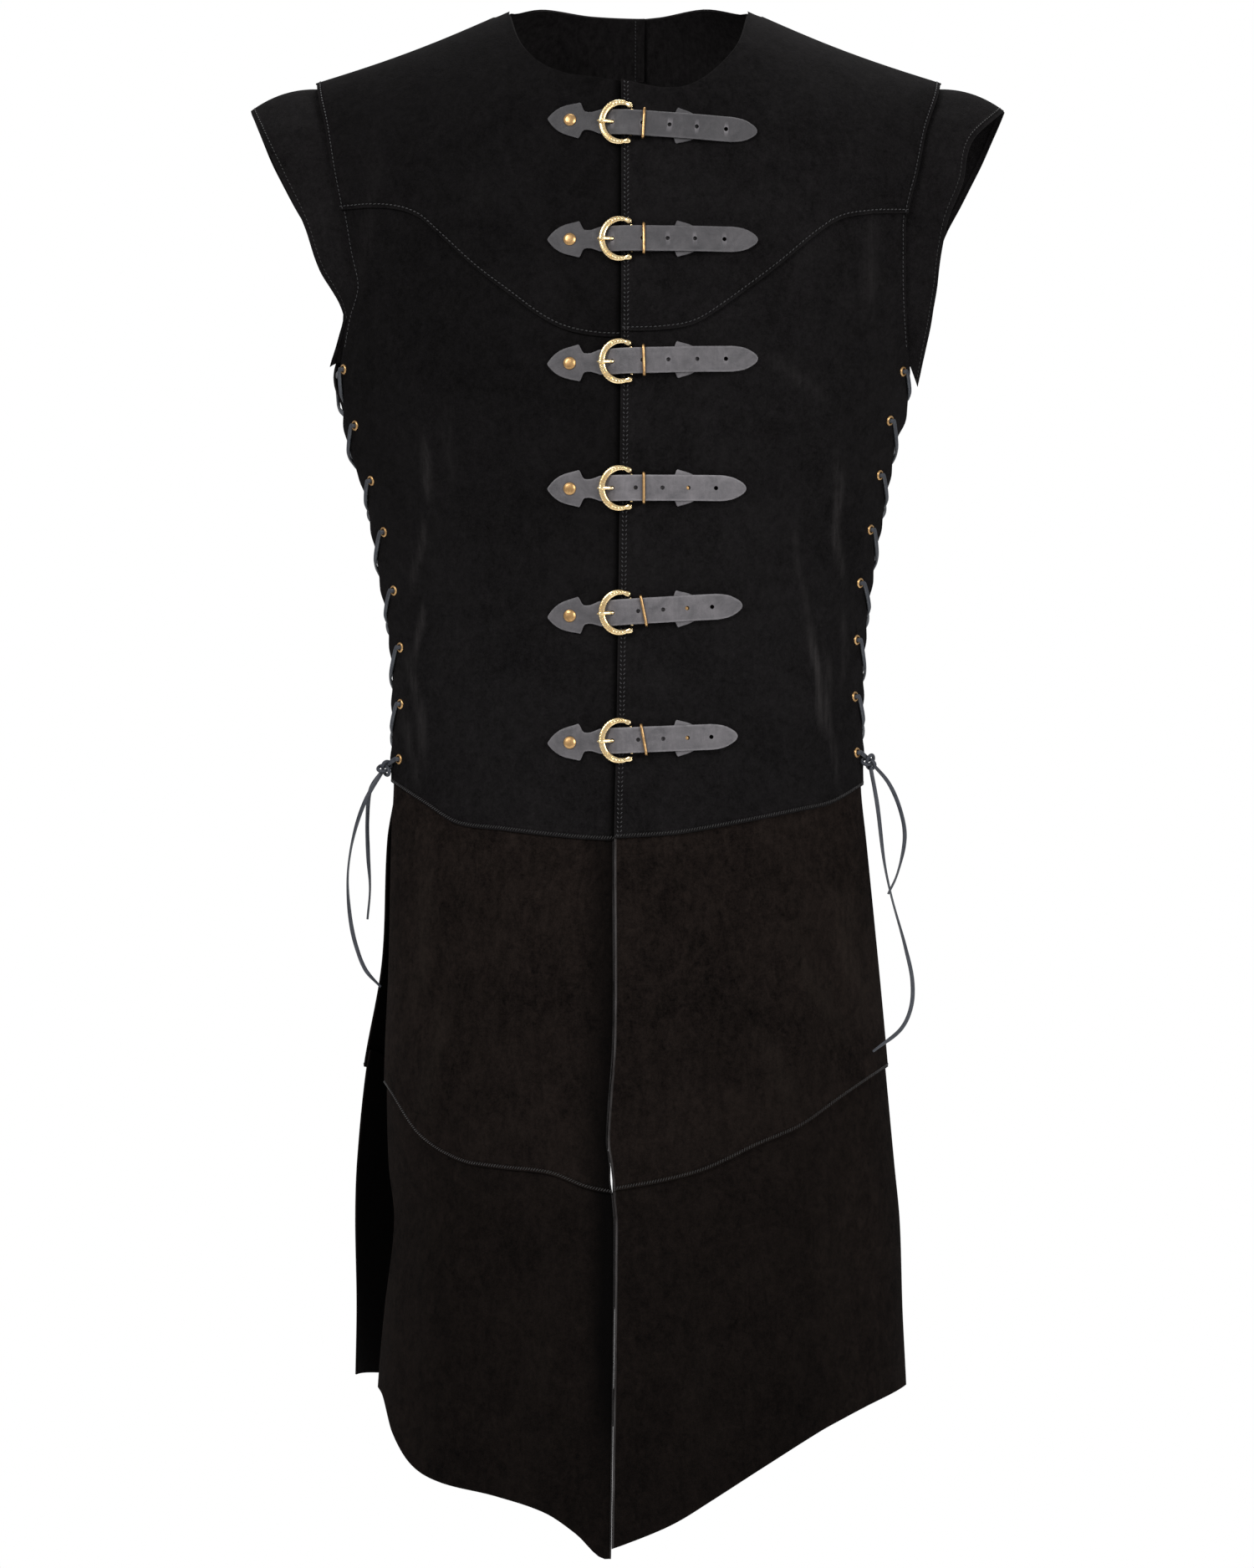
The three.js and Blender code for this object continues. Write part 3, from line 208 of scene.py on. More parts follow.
SLEEVE = {
    "front": Table("z right right_drop left left_drop inward", [
        (-29, 50, 16, 49, 16, 0), (-68, 44, 10, 34, 8, -2), (-99, 36, 9, 34, 8, 0),
        (-127, 27, 13, 29.5, 10, 4), (-151, 24, 12, 26, 12, 7), (-177, 19, 6, 23.5, 12, 8),
        (-203, 4, 2, 18, 10, 7), (-226, 3, 2, 9, 23, 4),
    ]),
    "back": Table("z right right_drop left left_drop inward", [
        (-29, 50, 16, 49, 16, 0), (-68, 45, 12, 45, 12, -2), (-127, 31, 10, 34, 10, 3),
        (-181, 16, 8, 23, 8, 6), (-205, 13, 6, 17, 6, 5), (-226, 7, 4, 10, 4, 4),
    ]),
}
SLEEVE_END = {"right": -201, "left": UNDERARM_Z}
SLEEVE_BULGE = 4.5
SLEEVE_SEAM = 8
SLEEVE_UNDER = 0.7
SLEEVE_WIDEST = 50
SLEEVE_LEAN = 0.3
SLEEVE_TUCK = 0.6

# Large folds, each a soft ridge from one point to the other
FOLDS = [
    ("front_right", 146, -285, 139, -360, 3, 12),
    ("front_right", 141, -420, 137, -500, 2.5, 12),
    ("front_right", 150, -705, 96, -800, 4, 16),
    ("front_right", 118, -840, 128, -1010, 4, 20),
    ("front_left", 147, -300, 143, -390, 3, 12),
    ("front_left", 134, -400, 126, -500, 3, 12),
    ("front_left", 112, -600, 130, -760, 3, 18),
    ("front_left", 96, -790, 110, -985, 5, 22),
    ("back_right", 70, -600, 95, -950, 7, 24),
    ("back_right", 130, -290, 100, -470, 3, 14),
    ("back_left", 60, -600, 85, -950, 7, 24),
    ("back_left", 128, -300, 104, -470, 3, 14),
]

# Creases and rubbed ridges: rise above or below the panel, width and rub
CREASES = [
    ("front_left", 144, -304, 150, -386, 1.2, 2.4, 0.8),
    ("front_left", 139, -318, 143, -392, -1.2, 4, 0),
    ("front_left", 124.5, -418, 137, -491, 1.3, 2.4, 0.95),
    ("front_left", 135.5, -440, 146.5, -523, 1.1, 2.2, 0.7),
    ("front_left", 128, -404, 131, -470, -1.2, 4, 0),
    ("front_left", 150, -410, 147, -462, 0.8, 2, 0.5),
    ("front_left", 116, -350, 121, -410, 0.8, 2.4, 0.35),
    ("front_left", 92, -232, 138, -262, 0.9, 4, 0.3),
    ("front_left", 60, -560, 100, -700, -1.4, 12, 0),
    ("front_left", 111, -637, 152, -713, 1.9, 7, 0.25),
    ("front_left", 102, -640, 142, -728, -1.6, 8, 0),
    ("front_left", 150, -610, 166, -700, 1.2, 9, 0.3),
    ("front_left", 88, -700, 118, -758, 1.5, 7, 0.3),
    ("front_left", 132, -800, 150, -950, 1.8, 11, 0.12),
    ("front_left", 84, -820, 96, -960, -1.6, 13, 0),
    ("front_left", 36, -860, 56, -1010, 1.6, 12, 0.12),
    ("front_left", 170, -130, 166, -200, 1, 5, 0.3),
    ("front_right", 141, -289, 140, -329, 1.2, 2.2, 0.9),
    ("front_right", 145, -347, 152, -392, 1.2, 2.4, 0.75),
    ("front_right", 143, -406, 147, -445, 1.2, 2.2, 0.85),
    ("front_right", 151, -440, 145, -512, 1.3, 3, 0.6),
    ("front_right", 136, -300, 131, -380, -1.1, 4, 0),
    ("front_right", 144, -450, 136, -515, -1.1, 4, 0),
    ("front_right", 122, -260, 126, -330, 0.8, 2.4, 0.3),
    ("front_right", 158, -480, 150, -530, 0.9, 3, 0.4),
    ("front_right", 140, -590, 150, -680, 1.3, 7, 0.3),
    ("front_right", 128, -690, 146, -770, 1.6, 6, 0.3),
    ("front_right", 112, -700, 130, -780, -1.5, 8, 0),
    ("front_right", 60, -570, 90, -680, -1.2, 13, 0),
    ("front_right", 80, -770, 128, -800, 1.2, 6, 0.15),
    ("front_right", 140, -820, 148, -950, 1.8, 8, 0.15),
    ("front_right", 110, -830, 118, -970, -1.5, 10, 0),
    ("front_right", 50, -850, 70, -1010, 1.8, 12, 0.12),
    ("front_right", 20, -700, 26, -800, 1.1, 9, 0.1),
    ("front_right", 178, -90, 186, -180, 1, 5, 0.2),
    ("back_right", 150, -250, 128, -330, 1.5, 4, 0.4),
    ("back_right", 120, -420, 140, -520, 1.5, 4, 0.5),
    ("back_right", 60, -120, 40, -280, 1.8, 12, 0.1),
    ("back_right", 140, -640, 150, -760, 1.6, 8, 0.2),
    ("back_right", 30, -700, 45, -960, -1.8, 14, 0),
    ("back_right", 110, -830, 130, -950, 1.6, 10, 0.2),
    ("back_left", 152, -260, 132, -340, 1.5, 4, 0.4),
    ("back_left", 112, -430, 138, -515, 1.5, 4, 0.5),
    ("back_left", 50, -110, 66, -290, 1.8, 12, 0.1),
    ("back_left", 132, -650, 146, -770, 1.6, 8, 0.2),
    ("back_left", 20, -690, 38, -950, -1.8, 14, 0),
    ("back_left", 120, -840, 138, -940, 1.6, 10, 0.2),
]

EYELETS = {
    "right": [(200.2, -236.7), (191.9, -277), (180.6, -315.5), (171.5, -352.2), (164.5, -393.6),
              (159.9, -433.9), (159.9, -474.1), (161, -513.2)],
    "left": [(192.5, -238.5), (183, -273.4), (175.9, -311.9), (169.5, -350.4), (162, -388.3),
             (159.9, -428.5), (158.5, -468.8), (160, -508.5)],
}

# Painted shade on each strap, from the neck down: how much darker than the lightest strap it is
STRAP_SHADES = (0.66, 0.54, 0.27, 0.0, 0.14, 0.1)

# Buckle sets from the neck down: rivet height, tilt, free tip, keeper lean, layers and holes
SETS = [
    (-68.2, 3.3, 89.8, 0, 2, (9.6, 28.5, 47.5, 68)),
    (-152.7, -0.2, 89.8, 0, 2, (9.6, 27, 46, 66.5)),
    (-239.2, -1.8, 89.8, 0, 1, (9.6, 27.5, 47.5, 67.5)),
    (-325.9, -0.3, 81.7, 0, 1, (4.8, 23.4, 41.4, 60.6)),
    (-413.8, -3.6, 79.4, 0.14, 1, (6.6, 24, 40.8, 58.2)),
    (-501.9, -2.3, 76, 0.14, 1, (6.6, 24, 41, 57.6)),
]
RISE = Table("x strap tab", [
    (-60, 0.5, 4.8), (-24, 0.5, 4.8), (-18, 0.8, 4.8), (-14.5, 1.5, 4.8), (-11, 3.3, 4.8), (-8, 5, 4.8),
    (-3, 6.7, 4.8), (BAR_X, 7.2, 4.8), (6, 7.1, 4.8), (KEEPER_X, 6.8, 4.8), (14, 6.8, 4.8), (22, 5.4, 3.4),
    (30, 5.2, 3.2), (40, 4.4, 2.4), (53, 3.1, 1.1), (60, 1.9, 0.5), (68, 0.8, 0.5), (95, 0.5, 0.5),
])
ARROW = [
    (-15.4, 0.6), (-14.7, 1.7), (-12.7, 4.2), (-10.2, 6.6), (-7, 8.8), (-3.5, 10.3), (0, 11.3), (3.5, 12.1),
    (6.3, 12.9), (7.2, 12.1), (8.2, 9.9), (9.1, 7.9), (10.2, 6.7), (12.5, 6.4), (15, 6.6), (18, 7.6),
    (20.6, 8.6), (23, STRAP_HALF),
]
FREE_TIP = [(18, STRAP_HALF), (14, 8.6), (10, 7.8), (7, 6.7), (4, 5), (2, 3.6), (0.7, 2.2), (0, 0.8)]
TONGUE = Table("x height", [
    (-21.2, 7.9), (-18.6, 8.2), (-14, 6.4), (-11, 4.7), (-8, 3.8), (-3, 4.3), (0.2, 5),
])

# Free ends of the laces, by the points they pass on the way from the knot
TAILS = {
    "tail_right": ("right", [
        (-186, -42, -541), (-193, -38, -559), (-198, -34, -580),
        (-200, -30, -600), (-198, -28, -628), (-194, -29, -646), (-187, -32, -663), (-176.5, -30, -675),
    ]),
    "tail_right_back": ("right", [
        (-184, -22, -534), (-187, -10, -556), (-187, 0, -582),
        (-186, 6, -606), (-188, 10, -628),
    ]),
    "tail_left_long": ("left", [
        (176, -46, -545), (181, -46, -586), (186, -46, -610),
        (196, -44, -646), (201, -44, -670), (200, -48, -688), (193, -54, -703), (172, -66, -719),
    ]),
    "tail_left_short": ("left", [
        (185, -29, -530), (193, -28, -548), (196.5, -29, -568),
        (191, -30, -595), (184.5, -31, -609),
    ]),
}


def put_in(name, data):
    """A new object of this name and data, linked to the scene."""
    thing = bpy.data.objects.new(name, data)
    bpy.context.scene.collection.objects.link(thing)
    return thing


# Camera

def make_camera():
    """Level with the middle of the photograph, straight in front."""
    data = bpy.data.cameras.new("camera")
    data.lens = CAMERA_LENS
    data.sensor_width = 36
    camera = put_in("camera", data)
    camera.location = (CAMERA_X * MM, -CAMERA_DISTANCE * MM, CAMERA_Z * MM)
    camera.rotation_euler = (math.pi / 2, 0, 0)
    bpy.context.scene.camera = camera


# Arrays

def unit(v):
    return v / np.maximum(np.linalg.norm(v, axis=-1, keepdims=True), 1e-9)


def mix(a, b, t):
    return a + (b - a) * t


def smoothstep(x, low, high):
    t = np.clip((x - low) / (high - low), 0, 1)
    return t * t * (3 - 2 * t)


def arc_length(points):
    steps = np.linalg.norm(np.diff(points, axis=0), axis=-1)
    return np.concatenate([np.zeros((1,) + steps.shape[1:]), np.cumsum(steps, axis=0)])


def resample(points, spacing, *extras):
    """Points at even steps along a polyline, with other arrays read at the same places."""
    length = arc_length(points)
    count = max(int(round(length[-1] / spacing)), 2)
    at = np.linspace(0, length[-1], count + 1)
    pick = lambda values: np.stack([np.interp(at, length, column) for column in values.T], axis=1)
    return [pick(points)] + [pick(values) for values in extras]


def smooth_path(points, steps=12):
    """Centripetal curve through points: each span blends lines between its four neighbours,
    timed by the square root of their distances."""
    points = np.asarray(points, float)
    ends = np.vstack([2 * points[0] - points[1], points, 2 * points[-1] - points[-2]])
    gaps = np.sqrt(np.maximum(np.linalg.norm(np.diff(ends, axis=0)[:, :3], axis=1), 1e-6))
    knots = np.concatenate([[0], np.cumsum(gaps)])
    p0, p1, p2, p3 = (ends[i:len(ends) - 3 + i, None] for i in range(4))
    t0, t1, t2, t3 = (knots[i:len(knots) - 3 + i, None, None] for i in range(4))
    t = t1 + (t2 - t1) * np.linspace(0, 1, steps, endpoint=False)[None, :, None]
    blend = lambda a, b, ta, tb: ((tb - t) * a + (t - ta) * b) / (tb - ta)
    a1, a2, a3 = blend(p0, p1, t0, t1), blend(p1, p2, t1, t2), blend(p2, p3, t2, t3)
    b1, b2 = blend(a1, a2, t0, t2), blend(a2, a3, t1, t3)
    path = blend(b1, b2, t1, t2).reshape(-1, points.shape[1])
    return np.vstack([path, points[-1]])


# Meshes

def outward(points, quads, triangles):
    """Turns all faces over where the enclosed volume comes out negative."""
    split = np.vstack([quads[:, [0, 1, 2]], quads[:, [0, 2, 3]], triangles])
    a, b, c = (points[split[:, k]] for k in range(3))
    if (a * np.cross(b, c)).sum() < 0:
        return quads[:, ::-1], triangles[:, ::-1]
    return quads, triangles


def make_piece(name, shape, material, slot=None, replaces=(), attributes=None, crease_angle=50):
    """A mesh object on the one body, from (points in mm, quads, triangles)."""
    points, quads, triangles = shape
    quads, triangles = outward(points, quads, triangles)
    mesh = bpy.data.meshes.new(name)
    mesh.vertices.add(len(points))
    mesh.vertices.foreach_set("co", (points * MM).astype(np.float32).ravel())
    corners = np.concatenate([quads.ravel(), triangles.ravel()])
    starts = np.concatenate([np.arange(len(quads)) * 4, 4 * len(quads) + np.arange(len(triangles)) * 3])
    mesh.loops.add(len(corners))
    mesh.loops.foreach_set("vertex_index", corners.astype(np.int32))
    mesh.polygons.add(len(starts))
    mesh.polygons.foreach_set("loop_start", starts.astype(np.int32))
    mesh.update(calc_edges=True)
    mesh.validate()
    mesh.shade_smooth()
    mesh.set_sharp_from_angle(angle=math.radians(crease_angle))
    for key, values in (attributes or {}).items():
        layer = mesh.attributes.new(key, "FLOAT", "POINT")
        layer.data.foreach_set("value", np.asarray(values, np.float32).ravel())
    mesh.materials.append(material)
    piece = put_in(name, mesh)
    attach(piece, "root")
    if replaces:
        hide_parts(*replaces)
    return piece


def grid_quads(rows, columns):
    at = np.arange(rows * columns).reshape(rows, columns)
    return np.stack([at[:-1, :-1], at[1:, :-1], at[1:, 1:], at[:-1, 1:]], axis=-1).reshape(-1, 4)


def rim_of(rows, columns):
    """Indices of a grid's border, once round."""
    at = np.arange(rows * columns).reshape(rows, columns)
    return np.concatenate([at[0, :-1], at[:-1, -1], at[-1, :0:-1], at[:0:-1, 0]])


def wall(points, normals, outer, thickness=WALL, round_edge=0.35):
    """A leather wall: the grid moved out along its normals, the same grid a thickness
    lower, and between their borders a rim whose middle stands a little proud."""
    rows, columns = points.shape[:2]
    count = rows * columns
    top = points + normals * outer
    low = points + normals * (outer - thickness)
    inner = np.clip(np.arange(rows), 1, rows - 2)[:, None], np.clip(np.arange(columns), 1, columns - 2)[None]
    away = unit(points - points[inner]).reshape(-1, 3)
    rim = rim_of(rows, columns)
    middle = ((top + low) / 2).reshape(-1, 3)[rim] + away[rim] * round_edge
    quads = grid_quads(rows, columns)
    ring = 2 * count + np.arange(len(rim))
    following = np.roll(np.arange(len(rim)), -1)
    upper = np.stack([rim, rim[following], ring[following], ring], axis=1)
    lower = np.stack([ring, ring[following], count + rim[following], count + rim], axis=1)
    everything = np.vstack([top.reshape(-1, 3), low.reshape(-1, 3), middle])
    faces = np.vstack([quads[:, ::-1], count + quads, upper, lower])
    return everything, faces, np.zeros((0, 3), int)


def inner_values(values):
    """None on the outer face of a wall, one on its inner face and a half on its rim."""
    count = values.size
    return np.concatenate([np.zeros(count), np.ones(count), np.full(len(rim_of(*values.shape)), 0.5)])


def wall_values(values):
    """A grid's values for the outer face, the inner face and the rim of its wall."""
    flat = values.ravel()
    return np.concatenate([flat, flat, flat[rim_of(*values.shape)]])


def ring_quads(at):
    """Faces between rows of corner numbers, each row a closed ring."""
    turned = np.roll(at, -1, axis=1)
    return np.stack([at[:-1], at[1:], turned[1:], turned[:-1]], axis=-1).reshape(-1, 4)


def ring_fans(at, first, last):
    """Triangles from the first ring to one centre point and from the last ring to another."""
    turned = np.roll(at, -1, axis=1)
    low = np.stack([np.full(at.shape[1], first), at[0], turned[0]], axis=1)
    high = np.stack([np.full(at.shape[1], last), turned[-1], at[-1]], axis=1)
    return np.vstack([low, high])


def tube(rings, closed=False):
    """Rings of points joined in a row, closed on itself or capped by fans on centre points."""
    count, around = rings.shape[:2]
    points = rings.reshape(-1, 3)
    at = np.arange(count * around).reshape(count, around)
    if closed:
        return points, ring_quads(np.vstack([at, at[:1]])), np.zeros((0, 3), int)
    centres = np.stack([rings[0].mean(0), rings[-1].mean(0)])
    return np.vstack([points, centres]), ring_quads(at), ring_fans(at, len(points), len(points) + 1)


def directions(path, closed=False):
    """Unit directions along a path."""
    if closed:
        return unit(np.roll(path, -1, axis=0) - np.roll(path, 1, axis=0))
    return unit(np.gradient(path, axis=0))


def section(around, squareness):
    """Points of a superellipse: cosine and sine raised to 2 / squareness."""
    angle = np.linspace(0, 2 * np.pi, around, endpoint=False)
    raised = lambda v: np.sign(v) * np.abs(v) ** (2 / squareness)
    return raised(np.cos(angle)), raised(np.sin(angle))


THONG_SIDES = 12
THONG_SQUARENESS = 3.2


def thong(path, up, half_width, half_thick, around=THONG_SIDES, squareness=THONG_SQUARENESS, closed=False):
    """Flattened superellipse sections carried along a path. The broad side faces up."""
    along = directions(path, closed)
    side = unit(np.cross(along, up))
    over = unit(np.cross(side, along))
    wide, thick = section(around, squareness)
    half_width = np.broadcast_to(half_width, len(path))[:, None, None]
    half_thick = np.broadcast_to(half_thick, len(path))[:, None, None]
    rings = (path[:, None] + side[:, None] * wide[None, :, None] * half_width
             + over[:, None] * thick[None, :, None] * half_thick)
    return tube(rings, closed)


def wire(path, radius, around=12, closed=False, up=(0, -1, 0)):
    """Round sections carried along a path."""
    return thong(path, np.broadcast_to(np.array(up, float), path.shape), radius, radius, around, 2, closed)


def lathe(profile, around=28):
    """A profile of (radius, height) turned about +Z, its poles closed."""
    radius, height = np.array(profile, float).T
    angle = np.linspace(0, 2 * np.pi, around, endpoint=False)
    rings = np.stack([radius[:, None] * np.cos(angle), radius[:, None] * np.sin(angle),
                      np.repeat(height[:, None], around, axis=1)], axis=-1)
    return tube(rings)


def turned_to(shape, place, normal, spin=0):
    """Moves a shape that stands on +Z so that it stands on a normal at a place."""
    points, quads, triangles = shape
    normal = unit(np.asarray(normal, float))
    flat = unit(np.cross([0, 0, 1], normal)) if abs(normal[2]) < 0.95 else np.array([1.0, 0, 0])
    other = np.cross(normal, flat)
    across = flat * math.cos(spin) + other * math.sin(spin)
    return points @ np.stack([across, np.cross(normal, across), normal]) + place, quads, triangles


def join(shapes):
    """Several closed shapes in one mesh."""
    starts = np.cumsum([0] + [len(points) for points, _, _ in shapes])
    return (np.vstack([points for points, _, _ in shapes]),
            np.vstack([quads + start for (_, quads, _), start in zip(shapes, starts)]),
            np.vstack([triangles + start for (_, _, triangles), start in zip(shapes, starts)]))


# Panels

def shoulder_height(out):
    t = (out - NECK_OUT) / (TIP_OUT - NECK_OUT)
    crown = NECK_Z + (CROWN_Z - NECK_Z) * (1 - (out / NECK_OUT) ** 2)
    slope = mix(NECK_Z, TIP_Z, t) - SHOULDER_SAG * np.sin(np.pi * np.minimum(t, 1))
    return np.where(t < 0, crown, slope)


def ridge(out, z, row):
    """One where a line between two points runs, falling off beside it as a bell
    and at its ends as a flat-topped bell."""
    from_out, from_z, to_out, to_z, width = row
    along = np.array([to_out - from_out, to_z - from_z], float)
    length = np.hypot(*along)
    t = ((out - from_out) * along[0] + (z - from_z) * along[1]) / length ** 2
    off = ((out - from_out) * along[1] - (z - from_z) * along[0]) / length
    return np.exp(-((2 * t - 1) ** 4)) * np.exp(-((off / width) ** 2))


def creasing(panel, out, z):
    """Summed rise and summed rub of the creases of a panel, bent by a slow wave."""
    rise, rub = np.zeros(np.shape(out)), np.zeros(np.shape(out))
    wander = 2.2 * np.sin(z / 23 + out / 31) + 1.1 * np.sin(z / 9.5 - out / 13)
    for name, from_out, from_z, to_out, to_z, height, width, rubbed in CREASES:
        if name == panel:
            here = ridge(out + wander, z, (from_out, from_z, to_out, to_z, width))
            rise += height * here
            rub += rubbed * here
    return rise, rub


def settling(panel, out, z):
    """Slow waves of a few tenths of a millimetre, none near the middle."""
    phase = {"front_right": 0.4, "front_left": 2.1, "back_right": 3.7, "back_left": 5.2}[panel]
    wave = (np.sin(z / 41 + out / 27 + phase) + 0.8 * np.sin(z / 17 - out / 33 + 2 * phase)
            + 0.6 * np.sin(out / 12 + z / 55 + 3 * phase))
    return 0.45 * wave * smoothstep(out, 55, 100)


def surface(half, side, out, z, lapped=True, creased=True):
    """A level section is a superellipse arc from the centre line to the side edge. Towards
    the shoulder seam it closes in like the quarter of an ellipse. Folds and creases move it
    forwards, and near the middle the left half is lifted over the right one."""
    out, z = np.broadcast_arrays(np.asarray(out, float), np.asarray(z, float))
    panel = f"{half}_{side}"
    edge = SECTIONS.read(panel, z)
    edge_depth = SECTIONS.read(f"{half}_y", z)
    depth = SECTIONS.read(half, z)
    reach = edge / (1 - (edge_depth / depth) ** FULLNESS) ** (1 / FULLNESS)
    arc = np.maximum(1 - np.abs(out / reach) ** FULLNESS, 0) ** (1 / FULLNESS)
    fall = np.clip((shoulder_height(np.abs(out)) - z) / CROWN_ROUND, 0, 1)
    crown = np.sqrt(1 - (1 - fall) ** 2)
    here = depth * arc * crown
    for name, from_out, from_z, to_out, to_z, rise, width in FOLDS:
        if name == panel:
            here = here + rise * ridge(out, z, (from_out, from_z, to_out, to_z, width)) * (crown > 0)
    if creased:
        here = here + (creasing(panel, out, z)[0] + settling(panel, out, z)) * smoothstep(crown, 0, 0.5)
    if lapped and side == "left":
        here = here + LAP_LIFT * (1 - smoothstep(out, LAP_FULL, LAP_END))
    return np.stack([SIDE_SIGN[side] * out, HALF_SIGN[half] * here, z], axis=-1)


def skin(half, side, out, z, lapped=True):
    """Points of a panel and its outward directions there."""
    step = 0.5
    across = surface(half, side, out + step, z, lapped) - surface(half, side, out - step, z, lapped)
    down = surface(half, side, out, z - step, lapped) - surface(half, side, out, z + step, lapped)
    facing = unit(np.cross(across, down)) * SIDE_SIGN[side] * HALF_SIGN[half]
    return surface(half, side, out, z, lapped), facing


def centre_out(half, side, z):
    x = CENTRE[half].read("x", z)
    return x if side == "left" else -x + CENTRE[half].read("gap", z)


# Panel plan: columns of the neck, the turn of a half section and how columns crowd
PLAN = {"front": (10, 1.29, 1.12), "back": (8, 1.44, 1.3)}


def scallop(half, side, z):
    """Between two lace holes the side edge bulges, and where the lace crosses it is drawn in."""
    levels = np.array([level for _, level in EYELETS[side]])[::-1]
    row = np.interp(z, levels, np.arange(len(levels), dtype=float))
    laced = smoothstep(z, levels[0] - 12, levels[0]) * (1 - smoothstep(z, levels[-1], levels[-1] + 12))
    phase = 2 * np.pi * (row - (0.05 if half == "front" else 0.35))
    return 0.8 * laced * (np.cos(phase) + 0.35 * np.cos(2 * phase + 0.8))


def share_of(half, w):
    _, turn, crowding = PLAN[half]
    return np.sin(turn * (1 - (1 - np.maximum(w, 0)) ** crowding)) / np.sin(turn)


def place_out(half, side, w, share, z):
    """Distance from the middle of a share of the way from the centre edge to the side edge.
    Below zero, w reaches out under the other half."""
    centre = centre_out(half, side, z)
    edge = np.where(z > TIP_Z, TIP_OUT, SECTIONS.read(f"{half}_{side}", z) + scallop(half, side, z))
    out = mix(centre, edge, share)
    taper = smoothstep(z, WAIST[half].read(side, 0) + 14, WAIST[half].read(side, 0) + 44)
    return np.where(w < 0, mix(centre - 1, -UNDERLAP, taper) * -w + centre * (1 + w), out)


def line_z(half, side, w, line):
    """Height at which a column meets a seam line, by repeated reading."""
    share = share_of(half, w)
    z = line.read(side, 100 * share)
    for _ in range(6):
        z = line.read(side, place_out(half, side, w, share, z))
    return z


def neck_line(half, side, w):
    """The upper edge: through the neck table's points, then down the shoulder."""
    columns = PLAN[half][0]
    rows = np.array(NECK[half])[:, [0, 1] if side == "right" else [2, 3]].copy()
    rows[0, 1] = centre_out(half, side, rows[0, 0])
    last = len(rows) - 1
    neck = Table("c z out", np.column_stack([np.arange(last + 1), rows]))
    c = np.maximum(w, 0) * columns
    on_shoulder = mix(NECK_OUT, TIP_OUT, (c - last) / (columns - last))
    out = np.where(c <= last, neck.read("out", c), on_shoulder)
    z = np.where(c <= last, neck.read("z", c), shoulder_height(out))
    centre = centre_out(half, side, z)
    edge = np.where(z > TIP_Z, TIP_OUT, SECTIONS.read(f"{half}_{side}", z))
    return (out - centre) / (edge - centre), z


def upper_grid(half, side, w, e):
    """From the neck and shoulder down to the yoke edge or the shoulder blades."""
    top_share, top_z = neck_line(half, side, w)
    low_z = line_z(half, side, w, YOKE_EDGE if half == "front" else BLADE_LINE)
    z = mix(top_z, low_z, 1 - np.cos(e * np.pi / 2))
    share = mix(top_share, share_of(half, w), e)
    return place_out(half, side, w, share, z), z


def lower_grid(half, side, w, e, upper_line, lower_line, raised=0):
    """Between two seam lines."""
    top = line_z(half, side, w, upper_line) + raised
    z = mix(top, line_z(half, side, w, lower_line), e)
    return place_out(half, side, w, share_of(half, w), z), z


class Panel:
    """A leather piece as a grid over the body, with its outward directions."""

    def __init__(self, name, half, side, out, z, seam_top=None):
        self.name, self.half, self.side = name, half, side
        self.out, self.z = out, z
        self.points = surface(half, side, out, z)
        self.normals = skin(half, side, out, z)[1]
        if seam_top is not None:
            self.points[0, seam_top, 1] = HALF_SIGN[half] * SHOULDER_GAP / 2
            flat = self.normals[0, seam_top]
            flat[:, 1] = 0
            self.normals[0, seam_top] = unit(flat)
        self.rub = creasing(f"{half}_{side}", out, z)[1]

    def insets(self):
        """Distances from the four edges: top, bottom, centre and side."""
        down = arc_length(self.points)
        across = arc_length(self.points.transpose(1, 0, 2)).T
        return down, down[-1:] - down, across, across[:, -1:] - across


COLUMN_CELLS = 80
UNDERLAP_CELLS = 4


def columns_of(half):
    """Column places, one of them at the corner between neck and shoulder."""
    corner = (len(NECK[half]) - 1) / PLAN[half][0]
    first = int(COLUMN_CELLS * corner * 0.8)
    w = np.concatenate([np.linspace(0, corner, first)[:-1], np.linspace(corner, 1, COLUMN_CELLS - first)])
    return w, corner


def body_panel(half, side):
    """The whole body panel, from the neck to the waist."""
    w, corner = columns_of(half)
    if side == "right":
        w = np.concatenate([np.linspace(-1, 0, UNDERLAP_CELLS, endpoint=False), w])
    e_upper = np.linspace(0, 1, 70)[:, None]
    e_lower = np.linspace(0, 1, 140)[1:, None]
    first = YOKE_EDGE if half == "front" else BLADE_LINE
    upper = upper_grid(half, side, w[None], e_upper)
    lower = lower_grid(half, side, w[None], e_lower, first, WAIST[half])
    out, z = (np.vstack(pair) for pair in zip(upper, lower))
    return Panel(f"{half}_body_{side}", half, side, out, z, w >= corner - 1e-9)


def yoke_panel(side):
    w, corner = columns_of("front")
    out, z = upper_grid("front", side, w[None], np.linspace(0, 1, 80)[:, None])
    return Panel(f"yoke_{side}", "front", side, out, z, w >= corner - 1e-9)


def skirt_panel(half, side, kind):
    """An upper skirt, or the lower one with the hem, whose top lies under the piece above."""
    w, _ = columns_of(half)
    lines = (WAIST, SKIRT_SEAM) if kind == "skirt" else (SKIRT_SEAM, HEM)
    e = np.linspace(0, 1, 95)[:, None]
    out, z = lower_grid(half, side, w[None], e, *(line[half] for line in lines), SEAM_LAP)
    return Panel(f"{half}_{kind}_{side}", half, side, out, z)


# Materials

